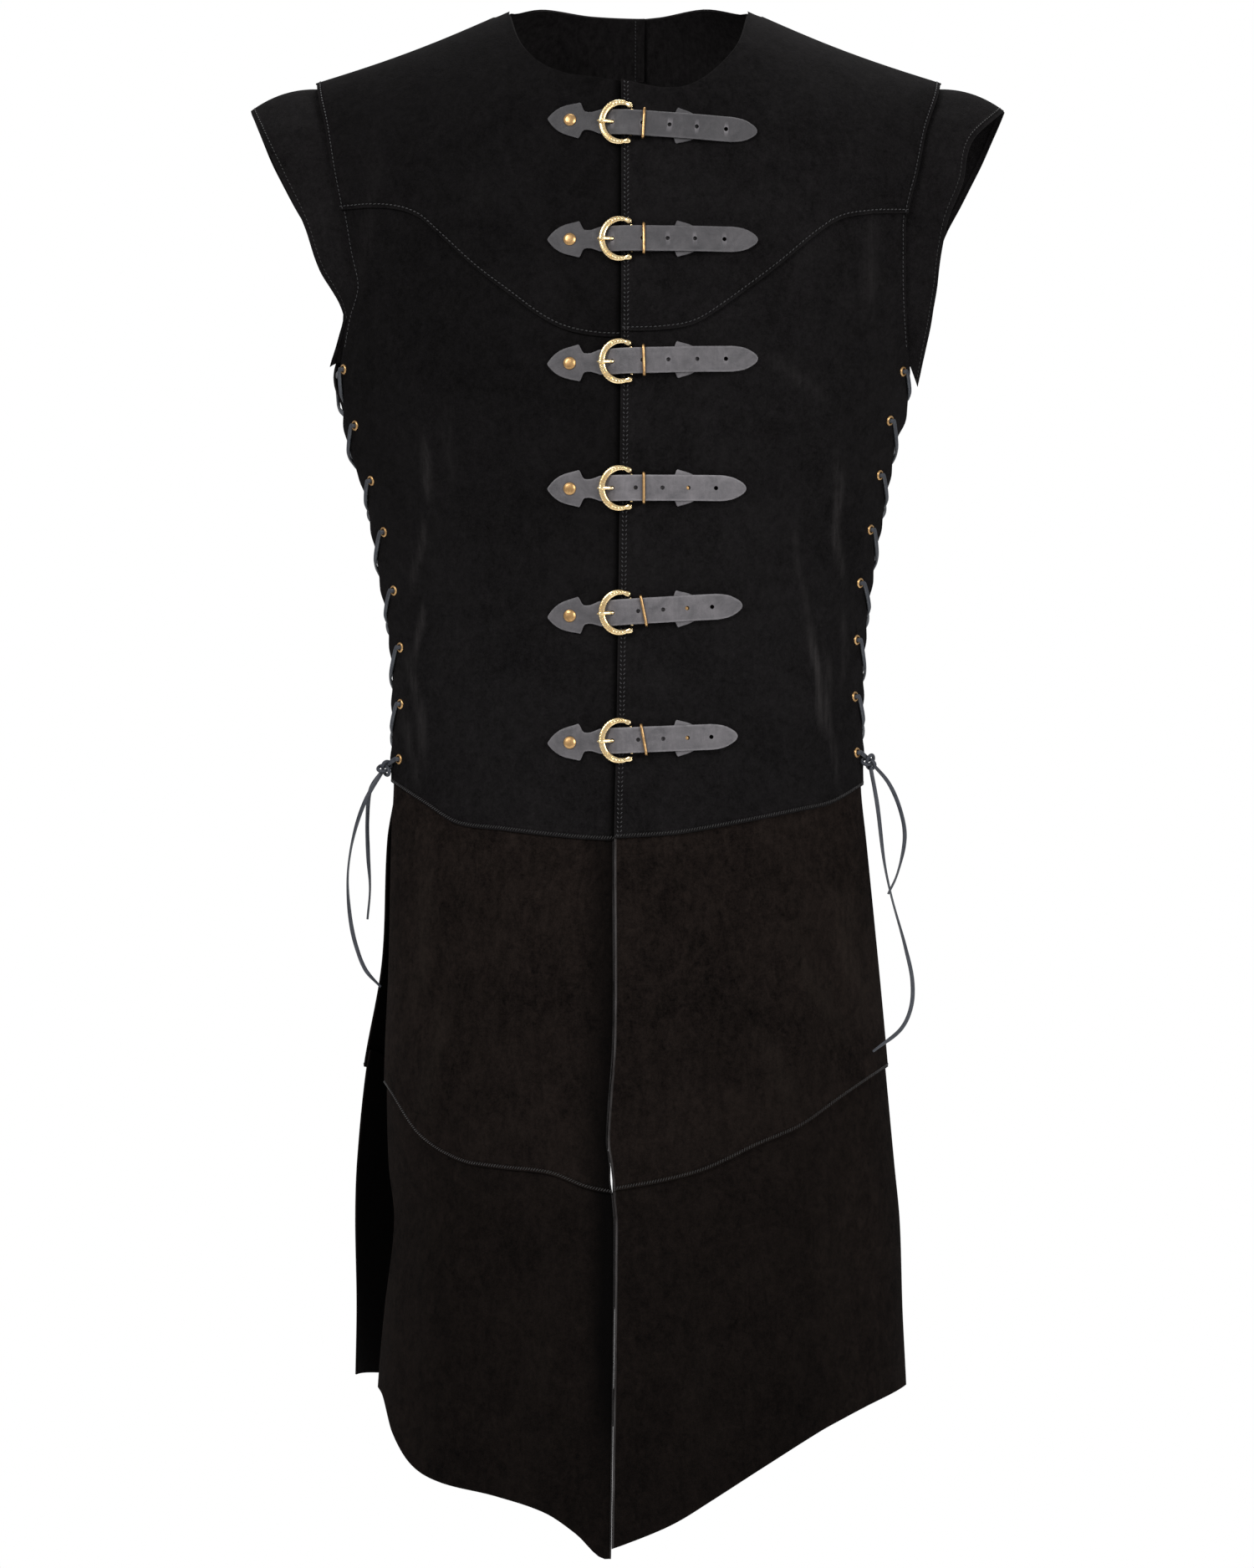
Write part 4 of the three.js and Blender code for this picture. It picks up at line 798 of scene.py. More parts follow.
class Look:
    """A material built node by node. Numbers that never change are set on the shader."""

    def __init__(self, name, **settings):
        self.material = bpy.data.materials.new(name)
        self.material.use_nodes = True
        self.nodes, self.links = self.material.node_tree.nodes, self.material.node_tree.links
        self.shader = self.nodes["Principled BSDF"]
        for socket, value in settings.items():
            self.shader.inputs[socket.replace("_", " ")].default_value = value
        self.place = self.nodes.new("ShaderNodeTexCoord").outputs["Object"]

    def set(self, socket, source):
        if isinstance(source, bpy.types.NodeSocket):
            self.links.new(source, socket)
        else:
            socket.default_value = source

    def noise(self, scale, detail=4, rough=0.55, distort=0.0, stretch=None):
        node = self.nodes.new("ShaderNodeTexNoise")
        values = {"Scale": scale, "Detail": detail, "Roughness": rough, "Distortion": distort}
        for socket, value in values.items():
            node.inputs[socket].default_value = value
        place = self.place
        if stretch:
            mapping = self.nodes.new("ShaderNodeMapping")
            mapping.inputs["Scale"].default_value = stretch
            self.links.new(place, mapping.inputs["Vector"])
            place = mapping.outputs["Vector"]
        self.links.new(place, node.inputs["Vector"])
        return node.outputs["Fac"]

    def cells(self, scale):
        """Distance from the edges of small cells."""
        node = self.nodes.new("ShaderNodeTexVoronoi")
        node.feature = "DISTANCE_TO_EDGE"
        node.inputs["Scale"].default_value = scale
        self.links.new(self.place, node.inputs["Vector"])
        return node.outputs["Distance"]

    def attribute(self, name):
        node = self.nodes.new("ShaderNodeAttribute")
        node.attribute_name = name
        return node.outputs["Fac"]

    def math(self, operation, a, b=0.0, clamp=False):
        node = self.nodes.new("ShaderNodeMath")
        node.operation = operation
        node.use_clamp = clamp
        self.set(node.inputs[0], a)
        self.set(node.inputs[1], b)
        return node.outputs[0]

    def ramp(self, source, low, high, to_low=0.0, to_high=1.0):
        node = self.nodes.new("ShaderNodeMapRange")
        values = {"From Min": low, "From Max": high, "To Min": to_low, "To Max": to_high}
        for socket, value in values.items():
            node.inputs[socket].default_value = value
        self.links.new(source, node.inputs["Value"])
        return node.outputs["Result"]

    def blend(self, share, a, b):
        node = self.nodes.new("ShaderNodeMix")
        node.data_type = "RGBA"
        self.set(node.inputs["Factor"], share)
        for socket, colour in (("A", a), ("B", b)):
            solid = not isinstance(colour, bpy.types.NodeSocket)
            self.set(node.inputs[socket], (*colour, 1) if solid else colour)
        return node.outputs["Result"]

    def bump(self, height, distance, strength=1.0, before=None):
        node = self.nodes.new("ShaderNodeBump")
        node.inputs["Distance"].default_value = distance
        node.inputs["Strength"].default_value = strength
        self.links.new(height, node.inputs["Height"])
        if before is not None:
            self.links.new(before, node.inputs["Normal"])
        return node.outputs["Normal"]

    def finish(self, colour=None, roughness=None, normal=None):
        for socket, source in (("Base Color", colour), ("Roughness", roughness), ("Normal", normal)):
            if source is not None:
                self.links.new(source, self.shader.inputs[socket])
        return self.material


# Colours of leather in full painted shade, and of the raw edge where the nap is worn off and a painted
# highlight runs
SUEDE_SHADE = (0.0006, 0.0005, 0.0005)
STRAP_SHADE = (0.004, 0.004, 0.005)
WORN_AND_HIGHLIT_EDGE = (0.06, 0.056, 0.056)


def suede(name, dark, light, rubbed, edge, streaks, spread):
    """Brushed leather: clouds and patches, short nap, flecks and brush strokes, rubbed ridges,
    painted light on the body's inner face, pale cut edges, painted shade, a worn front edge
    with a painted highlight along it and a groove along each sewn line."""
    look = Look(name, Sheen_Weight=0.03, Sheen_Roughness=0.5, Specular_IOR_Level=0.03)
    look.shader.inputs["Sheen Tint"].default_value = (*rubbed, 1)
    clouds = look.ramp(look.noise(11, 5, 0.6, 0.4), 0.34, 0.66)
    patches = look.ramp(look.noise(64, 8, 0.72, 0.9), 0.38, 0.66)
    nap = look.ramp(look.noise(700, 3, 0.8), 0.3, 0.7)
    flecks = look.ramp(look.noise(260, 6, 0.75, 0.5), 0.36, 0.66)
    brushed = look.ramp(look.noise(130, 5, 0.7, 0.9, (1.1, 1, 0.5)), 0.38, 0.68)
    tone = look.math("MULTIPLY", clouds, 0.2)
    for layer, weight in ((patches, 0.18), (nap, 0.3), (flecks, 0.26), (brushed, streaks)):
        tone = look.math("ADD", tone, look.math("MULTIPLY", layer, weight), clamp=layer is brushed)
    colour = look.blend(look.ramp(tone, spread, 1 - spread), dark, light)
    scuffs = look.ramp(look.noise(190, 5, 0.7, 0.3, (1.6, 1, 0.16)), 0.34, 0.7, 0.12, 1)
    # The rub attribute carries the rub of the creases and painted light on the inner face of the body
    rub = look.math("MULTIPLY", look.attribute("rub"), scuffs, clamp=True)
    colour = look.blend(look.math("MULTIPLY", rub, 0.7), colour, rubbed)
    frayed = look.math("ADD", look.attribute("inset"), look.ramp(look.noise(500, 3), 0.3, 0.7, -0.35, 0.35))
    pale = look.ramp(frayed, 0.6, 0.1)
    colour = look.blend(look.math("MULTIPLY", pale, 0.4), colour, edge)
    # Painted shade: the shade attribute darkens the colour towards SUEDE_SHADE
    colour = look.blend(look.attribute("shade"), colour, SUEDE_SHADE)
    # Worn front edge, paler for wear and as a painted highlight
    worn = look.ramp(look.attribute("worn"), 1.7, 0.9)
    colour = look.blend(look.math("MULTIPLY", worn, scuffs), colour, WORN_AND_HIGHLIT_EDGE)
    sewn = look.attribute("sewn")
    off = look.math("ABSOLUTE", look.math("SUBTRACT", sewn, STITCH_INSET))
    groove = look.ramp(off, 0.0, 1.6)
    normal = look.bump(groove, 0.0005)
    normal = look.bump(look.noise(60, 5, 0.6, 0.5), 0.0012, 0.5, normal)
    normal = look.bump(look.noise(330, 4, 0.65), 0.0005, 0.6, normal)
    normal = look.bump(nap, 0.00022, 0.8, normal)
    rough = look.ramp(nap, 0, 1, 0.82, 0.98)
    return look.finish(colour, rough, normal)


def smooth_leather(name, dark, light, edge, gloss):
    """Finished leather: fine pores, soft wrinkles, a paler rubbed edge and painted shade by piece."""
    look = Look(name, Specular_IOR_Level=0.4)
    clouds = look.ramp(look.noise(75, 5, 0.65, 0.5), 0.32, 0.68)
    colour = look.blend(clouds, dark, light)
    streaks = look.ramp(look.noise(420, 4, 0.7, 0.4, (0.45, 1, 1.4)), 0.4, 0.7)
    colour = look.blend(look.math("MULTIPLY", streaks, 0.3), colour, light)
    creases = look.ramp(look.noise(160, 5, 0.7, 1.2, (2.2, 1, 0.3)), 0.5, 0.74)
    colour = look.blend(look.math("MULTIPLY", creases, 0.45), colour, dark)
    worn = look.math("MULTIPLY", look.attribute("rim"), look.ramp(look.noise(260, 4, 0.7), 0.25, 0.6))
    colour = look.blend(look.math("MULTIPLY", worn, 0.8), colour, edge)
    # Painted shade: the shade attribute darkens the colour towards STRAP_SHADE
    colour = look.blend(look.attribute("shade"), colour, STRAP_SHADE)
    pores = look.ramp(look.cells(1500), 0.0, 0.35)
    normal = look.bump(pores, 0.00012, 0.5)
    normal = look.bump(look.noise(300, 5, 0.65, 0.6, (0.6, 1, 1)), 0.0005, 0.55, normal)
    rough = look.ramp(look.noise(150, 4), 0.3, 0.7, gloss - 0.08, gloss + 0.1)
    return look.finish(colour, rough, normal)


def metal(name, bright, dull, low, high, dents):
    """Cast or drawn brass: darkened in patches, finely scratched and slightly uneven."""
    look = Look(name, Metallic=1.0)
    tarnish = look.ramp(look.noise(180, 5, 0.65, 0.4), 0.42, 0.72)
    colour = look.blend(tarnish, bright, dull)
    scratches = look.ramp(look.noise(1400, 3, 0.6, 0, (1, 1, 0.2)), 0.35, 0.7)
    rough = look.math("ADD", look.ramp(tarnish, 0, 1, low, high), look.math("MULTIPLY", scratches, 0.06))
    normal = look.bump(look.noise(420, 3, 0.55), 0.0004, dents)
    return look.finish(colour, rough, normal)


def thread(name, dark, light):
    """Twisted thread: slanting strands by a fine wave."""
    look = Look(name, Sheen_Weight=0.3, Specular_IOR_Level=0.2)
    strands = look.ramp(look.noise(1600, 2, 0.5, 0.2), 0.35, 0.65)
    colour = look.blend(strands, dark, light)
    normal = look.bump(look.noise(2600, 2), 0.0002, 0.8)
    rough = look.ramp(strands, 0, 1, 0.75, 0.6)
    return look.finish(colour, rough, normal)


# Stitches

STITCH_INSET = 2.4
STITCH_PITCH = 3.1
STITCH_LENGTH = 2.2
STITCH_HALF = 0.34
STITCH_SIDES = 6
STITCH_POD = ((-0.72, 0.72), (0, 1.0), (0.72, 0.72))
INNER_SEAM_INSET = 6.5
SLEEVE_HEM_INSET = 3.4
SLEEVE_STITCH_HALF = 0.28
PLACKET_ROWS = ((2.2, 0.8), (4.6, -0.8))


def stitches(lines, pitch=STITCH_PITCH, length=STITCH_LENGTH, slant=0.12, half=STITCH_HALF):
    """Along each line (points, outward directions) stand small pods, widest in the middle,
    each turned across the line by its slant."""
    shapes = []
    x, radius = np.array(STITCH_POD).T
    each = len(x) * STITCH_SIDES + 2
    at = np.arange(each - 2).reshape(len(x), STITCH_SIDES)
    angle = np.linspace(0, 2 * np.pi, STITCH_SIDES, endpoint=False)
    for points, normals in lines:
        total = arc_length(points)[-1]
        count = max(int(total / pitch), 1)
        points, normals = resample(points, total / (2 * count), normals)
        centre, up = points[1::2], unit(normals[1::2])
        along = unit(np.gradient(points, axis=0)[1::2])
        side = unit(np.cross(up, along))
        along = unit(along + slant * side)
        side = unit(np.cross(up, along))
        body = (centre[:, None, None] + along[:, None, None] * (x * length / 2)[:, None, None]
                + side[:, None, None] * (np.cos(angle) * half)[:, None] * radius[:, None, None]
                + up[:, None, None] * (np.sin(angle) * half)[:, None] * radius[:, None, None])
        tips = centre[:, None] + along[:, None] * np.array([-1, 1])[:, None] * length / 2 - up[:, None] * 0.25
        n = len(centre)
        vertices = np.concatenate([body.reshape(n, -1, 3), tips], axis=1)
        starts = (np.arange(n) * each)[:, None, None]
        shapes.append((vertices.reshape(-1, 3), (ring_quads(at)[None] + starts).reshape(-1, 4),
                       (ring_fans(at, each - 2, each - 1)[None] + starts).reshape(-1, 3)))
    return join(shapes)


def inset_row(panel, edge, inset, layer, first=0.0, last=1.0, inside=False):
    """A line at a distance inside one edge of a panel, lying on its outer or inner face."""
    height = layer * LAYER - WALL - 0.15 if inside else layer * LAYER + 0.15
    points = panel.points + panel.normals * height
    normals = -panel.normals if inside else panel.normals
    if edge in ("side", "centre"):
        points, normals = points.transpose(1, 0, 2), normals.transpose(1, 0, 2)
    if edge in ("bottom", "side"):
        points, normals = points[::-1], normals[::-1]
    depth = arc_length(points)
    below = np.clip((depth < inset).sum(axis=0), 1, len(points) - 1)
    column = np.arange(points.shape[1])
    before, after = depth[below - 1, column], depth[below, column]
    t = ((inset - before) / np.maximum(after - before, 1e-6))[:, None]
    line = mix(points[below - 1, column], points[below, column], t)
    facing = unit(mix(normals[below - 1, column], normals[below, column], t))
    count = len(line)
    chosen = slice(int(first * (count - 1)), int(last * (count - 1)) + 1)
    return line[chosen], facing[chosen]


# Build

make_camera()

SUEDE_BODY = suede("suede_body", (0.0007, 0.0006, 0.0006), (0.0108, 0.0098, 0.0102), (0.034, 0.031, 0.031),
                   (0.0105, 0.0097, 0.0097), 0.1, 0.05)
SUEDE_SKIRT = suede("suede_skirt", (0.0005, 0.0003, 0.0003), (0.0126, 0.0090, 0.0076), (0.034, 0.027, 0.022),
                    (0.0125, 0.0105, 0.0095), 0.25, 0.14)
STRAP_LEATHER = smooth_leather("strap_leather", (0.054, 0.051, 0.056), (0.128, 0.119, 0.127),
                               (0.2, 0.19, 0.2), 0.55)
LACE_LEATHER = smooth_leather("lace_leather", (0.014, 0.016, 0.022), (0.030, 0.034, 0.044),
                              (0.08, 0.085, 0.09), 0.55)
BRIGHT_BRASS = metal("bright_brass", (0.93, 0.74, 0.43), (0.58, 0.38, 0.16), 0.16, 0.36, 0.3)
OLD_BRASS = metal("old_brass", (0.55, 0.34, 0.15), (0.25, 0.14, 0.06), 0.3, 0.48, 0.35)
THREAD = thread("thread", (0.009, 0.0085, 0.0095), (0.021, 0.020, 0.022))
DARK_THREAD = thread("dark_thread", (0.0035, 0.003, 0.003), (0.009, 0.0078, 0.0076))


# Laces

def at_inset(half, side, z, inset):
    """Distance from the middle of the point that lies an inset along the panel from its side edge."""
    edge = float(place_out(half, side, 1.0, 1.0, z))
    out = edge - np.linspace(0, 3 * inset + 1, 200)
    length = arc_length(surface(half, side, out, z))
    return float(np.interp(inset, length, out))


def eyelet_place(half, side, level):
    out, z = EYELETS[side][level]
    if half == "back":
        out = at_inset(half, side, z, BACK_EYELET_INSET)
    point, normal = skin(half, side, out, z)
    edge = surface(half, side, float(place_out(half, side, 1.0, 1.0, z)), z)
    return point, normal, unit(edge - point), z


OVER = LAYER + LACE_RADIUS + LACE_CLEAR
UNDER = LAYER - WALL - LACE_RADIUS - LACE_CLEAR
OVER_EDGE = OVER - 0.8
UNDER_EDGE = UNDER + 0.4
AT_RIM = 1.3
PAST_RIM = 3.6
THONG_HALF = 1.7
THONG_HALF_THICK = 0.95
TAIL_HALF = 1.5
TAIL_HALF_THICK = 0.65


def eyelet_turn(half, side, level):
    """Stations (x, y, z, facing, half width, half thickness) round an eyelet's rim."""
    point, normal, to_gap, _ = eyelet_place(half, side, level)
    station = lambda gap, height, width, thick: np.concatenate(
        [point + to_gap * gap + normal * height, normal, [width, thick]])
    return [station(PAST_RIM, OVER_EDGE, THONG_HALF, THONG_HALF_THICK),
            station(AT_RIM, OVER - 0.6, 1.5, 1.05),
            station(0, LAYER - WALL / 2, 1.4, 1.15),
            station(AT_RIM, UNDER_EDGE, 1.5, 1.05),
            station(PAST_RIM, UNDER + 0.5, THONG_HALF, THONG_HALF_THICK)]


def edge_crossing(half, side, z, outside):
    out = float(place_out(half, side, 1.0, 1.0, z))
    point, normal = skin(half, side, out, z)
    height = OVER_EDGE if outside else UNDER_EDGE
    width = THONG_HALF + 0.2 * math.sin(0.37 * z)
    return np.concatenate([point + normal * height, normal, [width, THONG_HALF_THICK]])


def cross_gap(side, start, end, outside_first):
    """From an eyelet of one panel over the open side to the next eyelet of the other.
    On the outside of a panel the lace hangs lower before it crosses the edge."""
    start_z, end_z = EYELETS[side][start[1]][1], EYELETS[side][end[1]][1]
    leave = LACE_OUTER_DROP if outside_first else LACE_INNER_RISE
    arrive = 1 - (LACE_INNER_RISE if outside_first else LACE_OUTER_DROP)
    first = edge_crossing(start[0], side, mix(start_z, end_z, leave), outside_first)
    last = edge_crossing(end[0], side, mix(start_z, end_z, arrive), not outside_first)
    middle = (first + last) / 2
    middle[0] += SIDE_SIGN[side] * (-LACE_CROSS if outside_first else LACE_CROSS)
    middle[3:6] = unit(middle[3:6] + np.array([SIDE_SIGN[side], 0, 0]))
    return [first, middle, last]


def knot_place(side):
    z = EYELETS[side][-1][1] - 5
    out = float(SECTIONS.read(f"front_{side}", z))
    point, normal = skin("front", side, out, z)
    return point + normal * (LAYER + KNOT_RADIUS + 0.5), normal


def lacing(side):
    """The lace as one run from the knot up through the eyelets and down again."""
    last = len(EYELETS[side]) - 1
    knot, facing = knot_place(side)
    knot_station = np.concatenate([knot, facing, [1.6, 0.8]])
    half_at = lambda level, odd: "front" if (level % 2 == 1) == odd else "back"
    route = [knot_station]
    for level in range(last, -1, -1):
        here = half_at(level, True)
        route += eyelet_turn(here, side, level)
        if level > 0:
            route += cross_gap(side, (here, level), (half_at(level - 1, True), level - 1), False)
    top_z = EYELETS[side][0][1]
    route += [edge_crossing("back", side, top_z, False), edge_crossing("front", side, top_z, False)]
    for level in range(last + 1):
        here = half_at(level, False)
        route += eyelet_turn(here, side, level)[::-1]
        if level < last:
            route += cross_gap(side, (here, level), (half_at(level + 1, False), level + 1), True)
    route += [edge_crossing("back", side, EYELETS[side][-1][1] - 2, True), knot_station]
    path = smooth_path(np.array(route), 14)
    path, rest = resample(path[:, :3], 1.0, path[:, 3:])
    return thong(path, unit(rest[:, :3]), rest[:, 3], rest[:, 4])


def knot(side):
    """A loose overhand knot: a trefoil of thong, (sin t + 2 sin 2t, cos t - 2 cos 2t) / 3 by
    -sin 3t / 2.4, that shows its loops to the front."""
    centre, _ = knot_place(side)
    t = np.linspace(0, 2 * np.pi, 120, endpoint=False)
    curve = np.stack([(np.sin(t) + 2 * np.sin(2 * t)) / 3, (np.cos(t) - 2 * np.cos(2 * t)) / 3,
                      -np.sin(3 * t) / 2.4], axis=1) * KNOT_LOOSE
    up = np.broadcast_to([0.0, 0.0, 1.0], curve.shape)
    shape = thong(curve, up, 1.25, 0.85, 10, 2.6, True)
    return turned_to(shape, centre + np.array([0, -1.5, -1.5]), (0.2 * SIDE_SIGN[side], -1, 0.1), 0.5)


def tail(name):
    """A free end: flat thong on a smooth curve from the knot, turning over once."""
    side, places = TAILS[name]
    start = knot_place(side)[0]
    places = np.array(places, float)
    first = start + unit(places[0] - start) * (KNOT_RADIUS + TAIL_CLEAR)
    path, = resample(smooth_path(np.vstack([first, places]), 20), 2.0)
    share = np.linspace(0, 1, len(path))[:, None]
    out = np.array([SIDE_SIGN[side], 0, 0])
    turn = 1.15 + 0.9 * np.sin(2.2 * np.pi * share + len(places))
    up = out * np.cos(turn) + np.array([0, -1.0, 0]) * np.sin(turn)
    taper = 1 - 0.45 * smoothstep(share[:, 0], 0.9, 1)
    return path, thong(path, up, TAIL_HALF * taper, TAIL_HALF_THICK)


def lace_piece(name, shape, replaced):
    """A thong of lace leather, paler along its two narrow sides and on its ends."""
    wide, _ = section(THONG_SIDES, THONG_SQUARENESS)
    count = len(shape[0])
    rim = np.tile(smoothstep(np.abs(wide), 0.8, 1), count // THONG_SIDES)
    rim = np.concatenate([rim, np.ones(count - len(rim))])
    return make_piece(name, shape, LACE_LEATHER, "lace_leather", [replaced],
                      {"rim": rim, "shade": np.zeros(count)})


for name in TAILS:
    path, shape = tail(name)
    piece = lace_piece(f"{name}_thong", shape, name)
    float(arc_length(path)[-1]) * MM

for side in SIDE_SIGN:
    lace_piece(f"lace_{side}_thong", lacing(side), f"lace_{side}")
    make_piece(f"knot_{side}", knot(side), LACE_LEATHER, "lace_leather")

# Panels and sleeves
panels = {}
for half in HALF_SIGN:
    for side in SIDE_SIGN:
        panels[f"{half}_body_{side}"] = (body_panel(half, side), 1)
        panels[f"{half}_skirt_{side}"] = (skirt_panel(half, side, "skirt"), 0)
        panels[f"{half}_hem_{side}"] = (skirt_panel(half, side, "hem"), -1)
for side in SIDE_SIGN:
    panels[f"yoke_{side}"] = (yoke_panel(side), 2)

FAR = 900.0


def sewn_edges(panel, kind):
    """Distance from the nearest sewn edge: the bottom of bodies, yokes and upper skirts,
    the centre edge of the overlapping half, and the armhole."""
    top, bottom, centre, out = panel.insets()
    sewn = np.full(top.shape, FAR)
    if kind in ("body", "yoke", "skirt"):
        sewn = np.minimum(sewn, bottom)
    if panel.side == "left" and kind in ("body", "yoke"):
        sewn = np.minimum(sewn, centre)
    if kind in ("body", "yoke"):
        sewn = np.minimum(sewn, np.where(panel.z > UNDERARM_Z, out, FAR))
    return sewn


# Share of black on each kind of piece, outside and inside, and how much it rises low down; the near black
# inside the skirts is painted shade
SHADES = {
    "yoke": (0.0, 0.0, 0.0),
    "body": (0.0, 0.0, 0.0),
    "skirt": (0.0, 0.95, 0.3),
    "hem": (0.42, 0.95, 0.16),
}
# Limit of the painted shade, painted light towards a skirt's side edge, painted shade beside the centre low
# on the right skirts, a painted shadow where the right front runs under the left one, and painted shade on
# the right front's chest
DARKEST = 0.95
SIDE_LIGHTER = 0.22
CENTRE_DARKER = 0.65
CENTRE_DARK_WIDTH = 26
UNDERLAP_DARKER = 0.9
CHEST_DARKER = 0.3


def shading(panel, kind):
    """Share of black: by kind, with painted shade inside the skirts, rising down the skirts,
    less towards a skirt's side edge as painted light, painted shade beside the centre low on
    the right skirts, a painted shadow where the right half runs under the left one, and
    painted shade on the right front's chest."""
    outside, inside, low = SHADES[kind]
    top, bottom, centre, _ = panel.insets()
    shade = outside + low * top / (top + bottom)
    if low:
        shade = shade - SIDE_LIGHTER * smoothstep(panel.out, 120, 175)
    if panel.side == "right" and low:
        beside = 1 - smoothstep(centre, 0, CENTRE_DARK_WIDTH)
        shade = shade + CENTRE_DARKER * beside * smoothstep(panel.z, -1060, -900)
    if panel.side == "right" and panel.half == "front":
        under = 1 - smoothstep(panel.out - centre_out("front", "right", panel.z), 1.2, 5)
        shade = shade + UNDERLAP_DARKER * under * (kind in ("yoke", "body"))
        shade = shade + CHEST_DARKER * smoothstep(panel.z, -480, -260)
    shade = np.clip(shade, 0, DARKEST)
    inner = inner_values(shade)
    return wall_values(shade) * (1 - inner) + inside * inner


def worn_and_highlit_edge(panel, kind):
    """Distance from the worn front edge of the skirts, which also carries a painted highlight, on the right
    half counted from beyond it.
    """
    if panel.half == "back" or kind not in ("skirt", "hem"):
        return wall_values(np.full(panel.out.shape, FAR))
    return wall_values(panel.insets()[2] + (0.0 if panel.side == "left" else 0.8))


def rubbing_and_inside_light(panel, kind):
    """The rub of the creases outside, and painted light inside the body: an even paler inner face."""
    inner = inner_values(panel.rub)
    return wall_values(panel.rub) * (1 - inner) + 0.5 * inner * (kind in ("yoke", "body"))


def hang_sheet(points):
    """Measures a leather piece's widest row and its longest column along the leather, and keeps
    neither."""
    wide = float(arc_length(points.transpose(1, 0, 2))[-1].max())
    tall = float(arc_length(points)[-1].max())


for name, (panel, layer) in panels.items():
    kind = "yoke" if name.startswith("yoke") else name.split("_")[1]
    inset = np.minimum.reduce(panel.insets())
    shape = wall(panel.points, panel.normals, layer * LAYER)
    skirt = kind in ("skirt", "hem")
    leather, slot = (SUEDE_SKIRT, "suede_skirt") if skirt else (SUEDE_BODY, "suede_body")
    # rub carries the crease rub and painted light inside the body, shade is painted shade, worn is the worn
    # front edge with a painted highlight
    piece = make_piece(f"{name}_suede", shape, leather, slot, [name],
                       {"rub": rubbing_and_inside_light(panel, kind), "inset": wall_values(inset),
                        "sewn": wall_values(sewn_edges(panel, kind)), "shade": shading(panel, kind),
                        "worn": worn_and_highlit_edge(panel, kind)})
    hang_sheet(panel.points)


def sleeve_grid(side):
    """A strip from under the armhole edge out to the flared hem: out and down from the
    armhole by the sleeve table, with a parabolic bulge between."""
    rounds = np.linspace(0, np.pi / 2, 56)
    drop = 1 - np.cos(rounds)
    front_z = TIP_Z + (SLEEVE_END[side] - TIP_Z) * drop[::-1]
    back_z = TIP_Z + (UNDERARM_Z - TIP_Z) * drop[1:]
    columns = []
    for half, z in (("front", front_z), ("back", back_z)):
        edge_out = SECTIONS.read(f"{half}_{side}", z)
        edge, normal = skin(half, side, edge_out - SLEEVE_TUCK, z)
        inner = surface(half, side, edge_out - SLEEVE_SEAM, z)
        edge = surface(half, side, edge_out, z)
        tip = np.abs(z - TIP_Z) < 1e-6
        edge = edge - normal * SLEEVE_UNDER
        tuck = edge + unit(inner - edge) * SLEEVE_SEAM - normal * SLEEVE_UNDER
        edge[tip, 1] = 0
        tuck[tip, 1] = 0
        reach = SLEEVE[half].read(side, z)
        fall = SLEEVE[half].read(f"{side}_drop", z)
        inward = SLEEVE[half].read("inward", z)
        t = np.linspace(0, 1, 22)[:, None]
        ripple = 0.9 * np.sin(z / 11 + 2 * t) * t + 0.5 * np.sin(z / 5.3 + 1.3) * t
        bulge = SLEEVE_BULGE * (reach / SLEEVE_WIDEST) * 4 * t * (1 - t)
        strip = np.stack([
            edge[:, 0] + SIDE_SIGN[side] * (reach * t + bulge * SLEEVE_LEAN + ripple * 0.4),
            edge[:, 1] - HALF_SIGN[half] * inward * t + HALF_SIGN[half] * ripple * 0.5,
            edge[:, 2] - fall * t + bulge + ripple * 0.3,
        ], axis=-1)
        columns.append(np.concatenate([tuck[None], mix(tuck, edge, 0.5)[None], strip]))
    points = np.concatenate(columns, axis=1)
    along, outwards = np.gradient(points, axis=1), np.gradient(points, axis=0)
    return points, unit(np.cross(along, outwards)) * -SIDE_SIGN[side]


class SleevePanel:
    """The parts of a panel that stitch rows read."""

    def __init__(self, points, normals):
        self.points, self.normals = points, normals


sleeves = {}
for side in SIDE_SIGN:
    points, normals = sleeve_grid(side)
    sleeves[side] = SleevePanel(points, normals)
    down = arc_length(points)
    along = arc_length(points.transpose(1, 0, 2)).T
    hem = down[-1:] - down
    inset = np.minimum(hem, np.minimum(along, along[:, -1:] - along))
    sewn = hem - SLEEVE_HEM_INSET + STITCH_INSET
    piece = make_piece(f"sleeve_{side}_suede", wall(points, normals, 0), SUEDE_BODY, "suede_body",
                       [f"sleeve_{side}"],
                       {"rub": wall_values(0 * hem), "inset": wall_values(inset), "sewn": wall_values(sewn),
                        "shade": wall_values(0 * hem), "worn": wall_values(0 * hem + FAR)})
    hang_sheet(points)

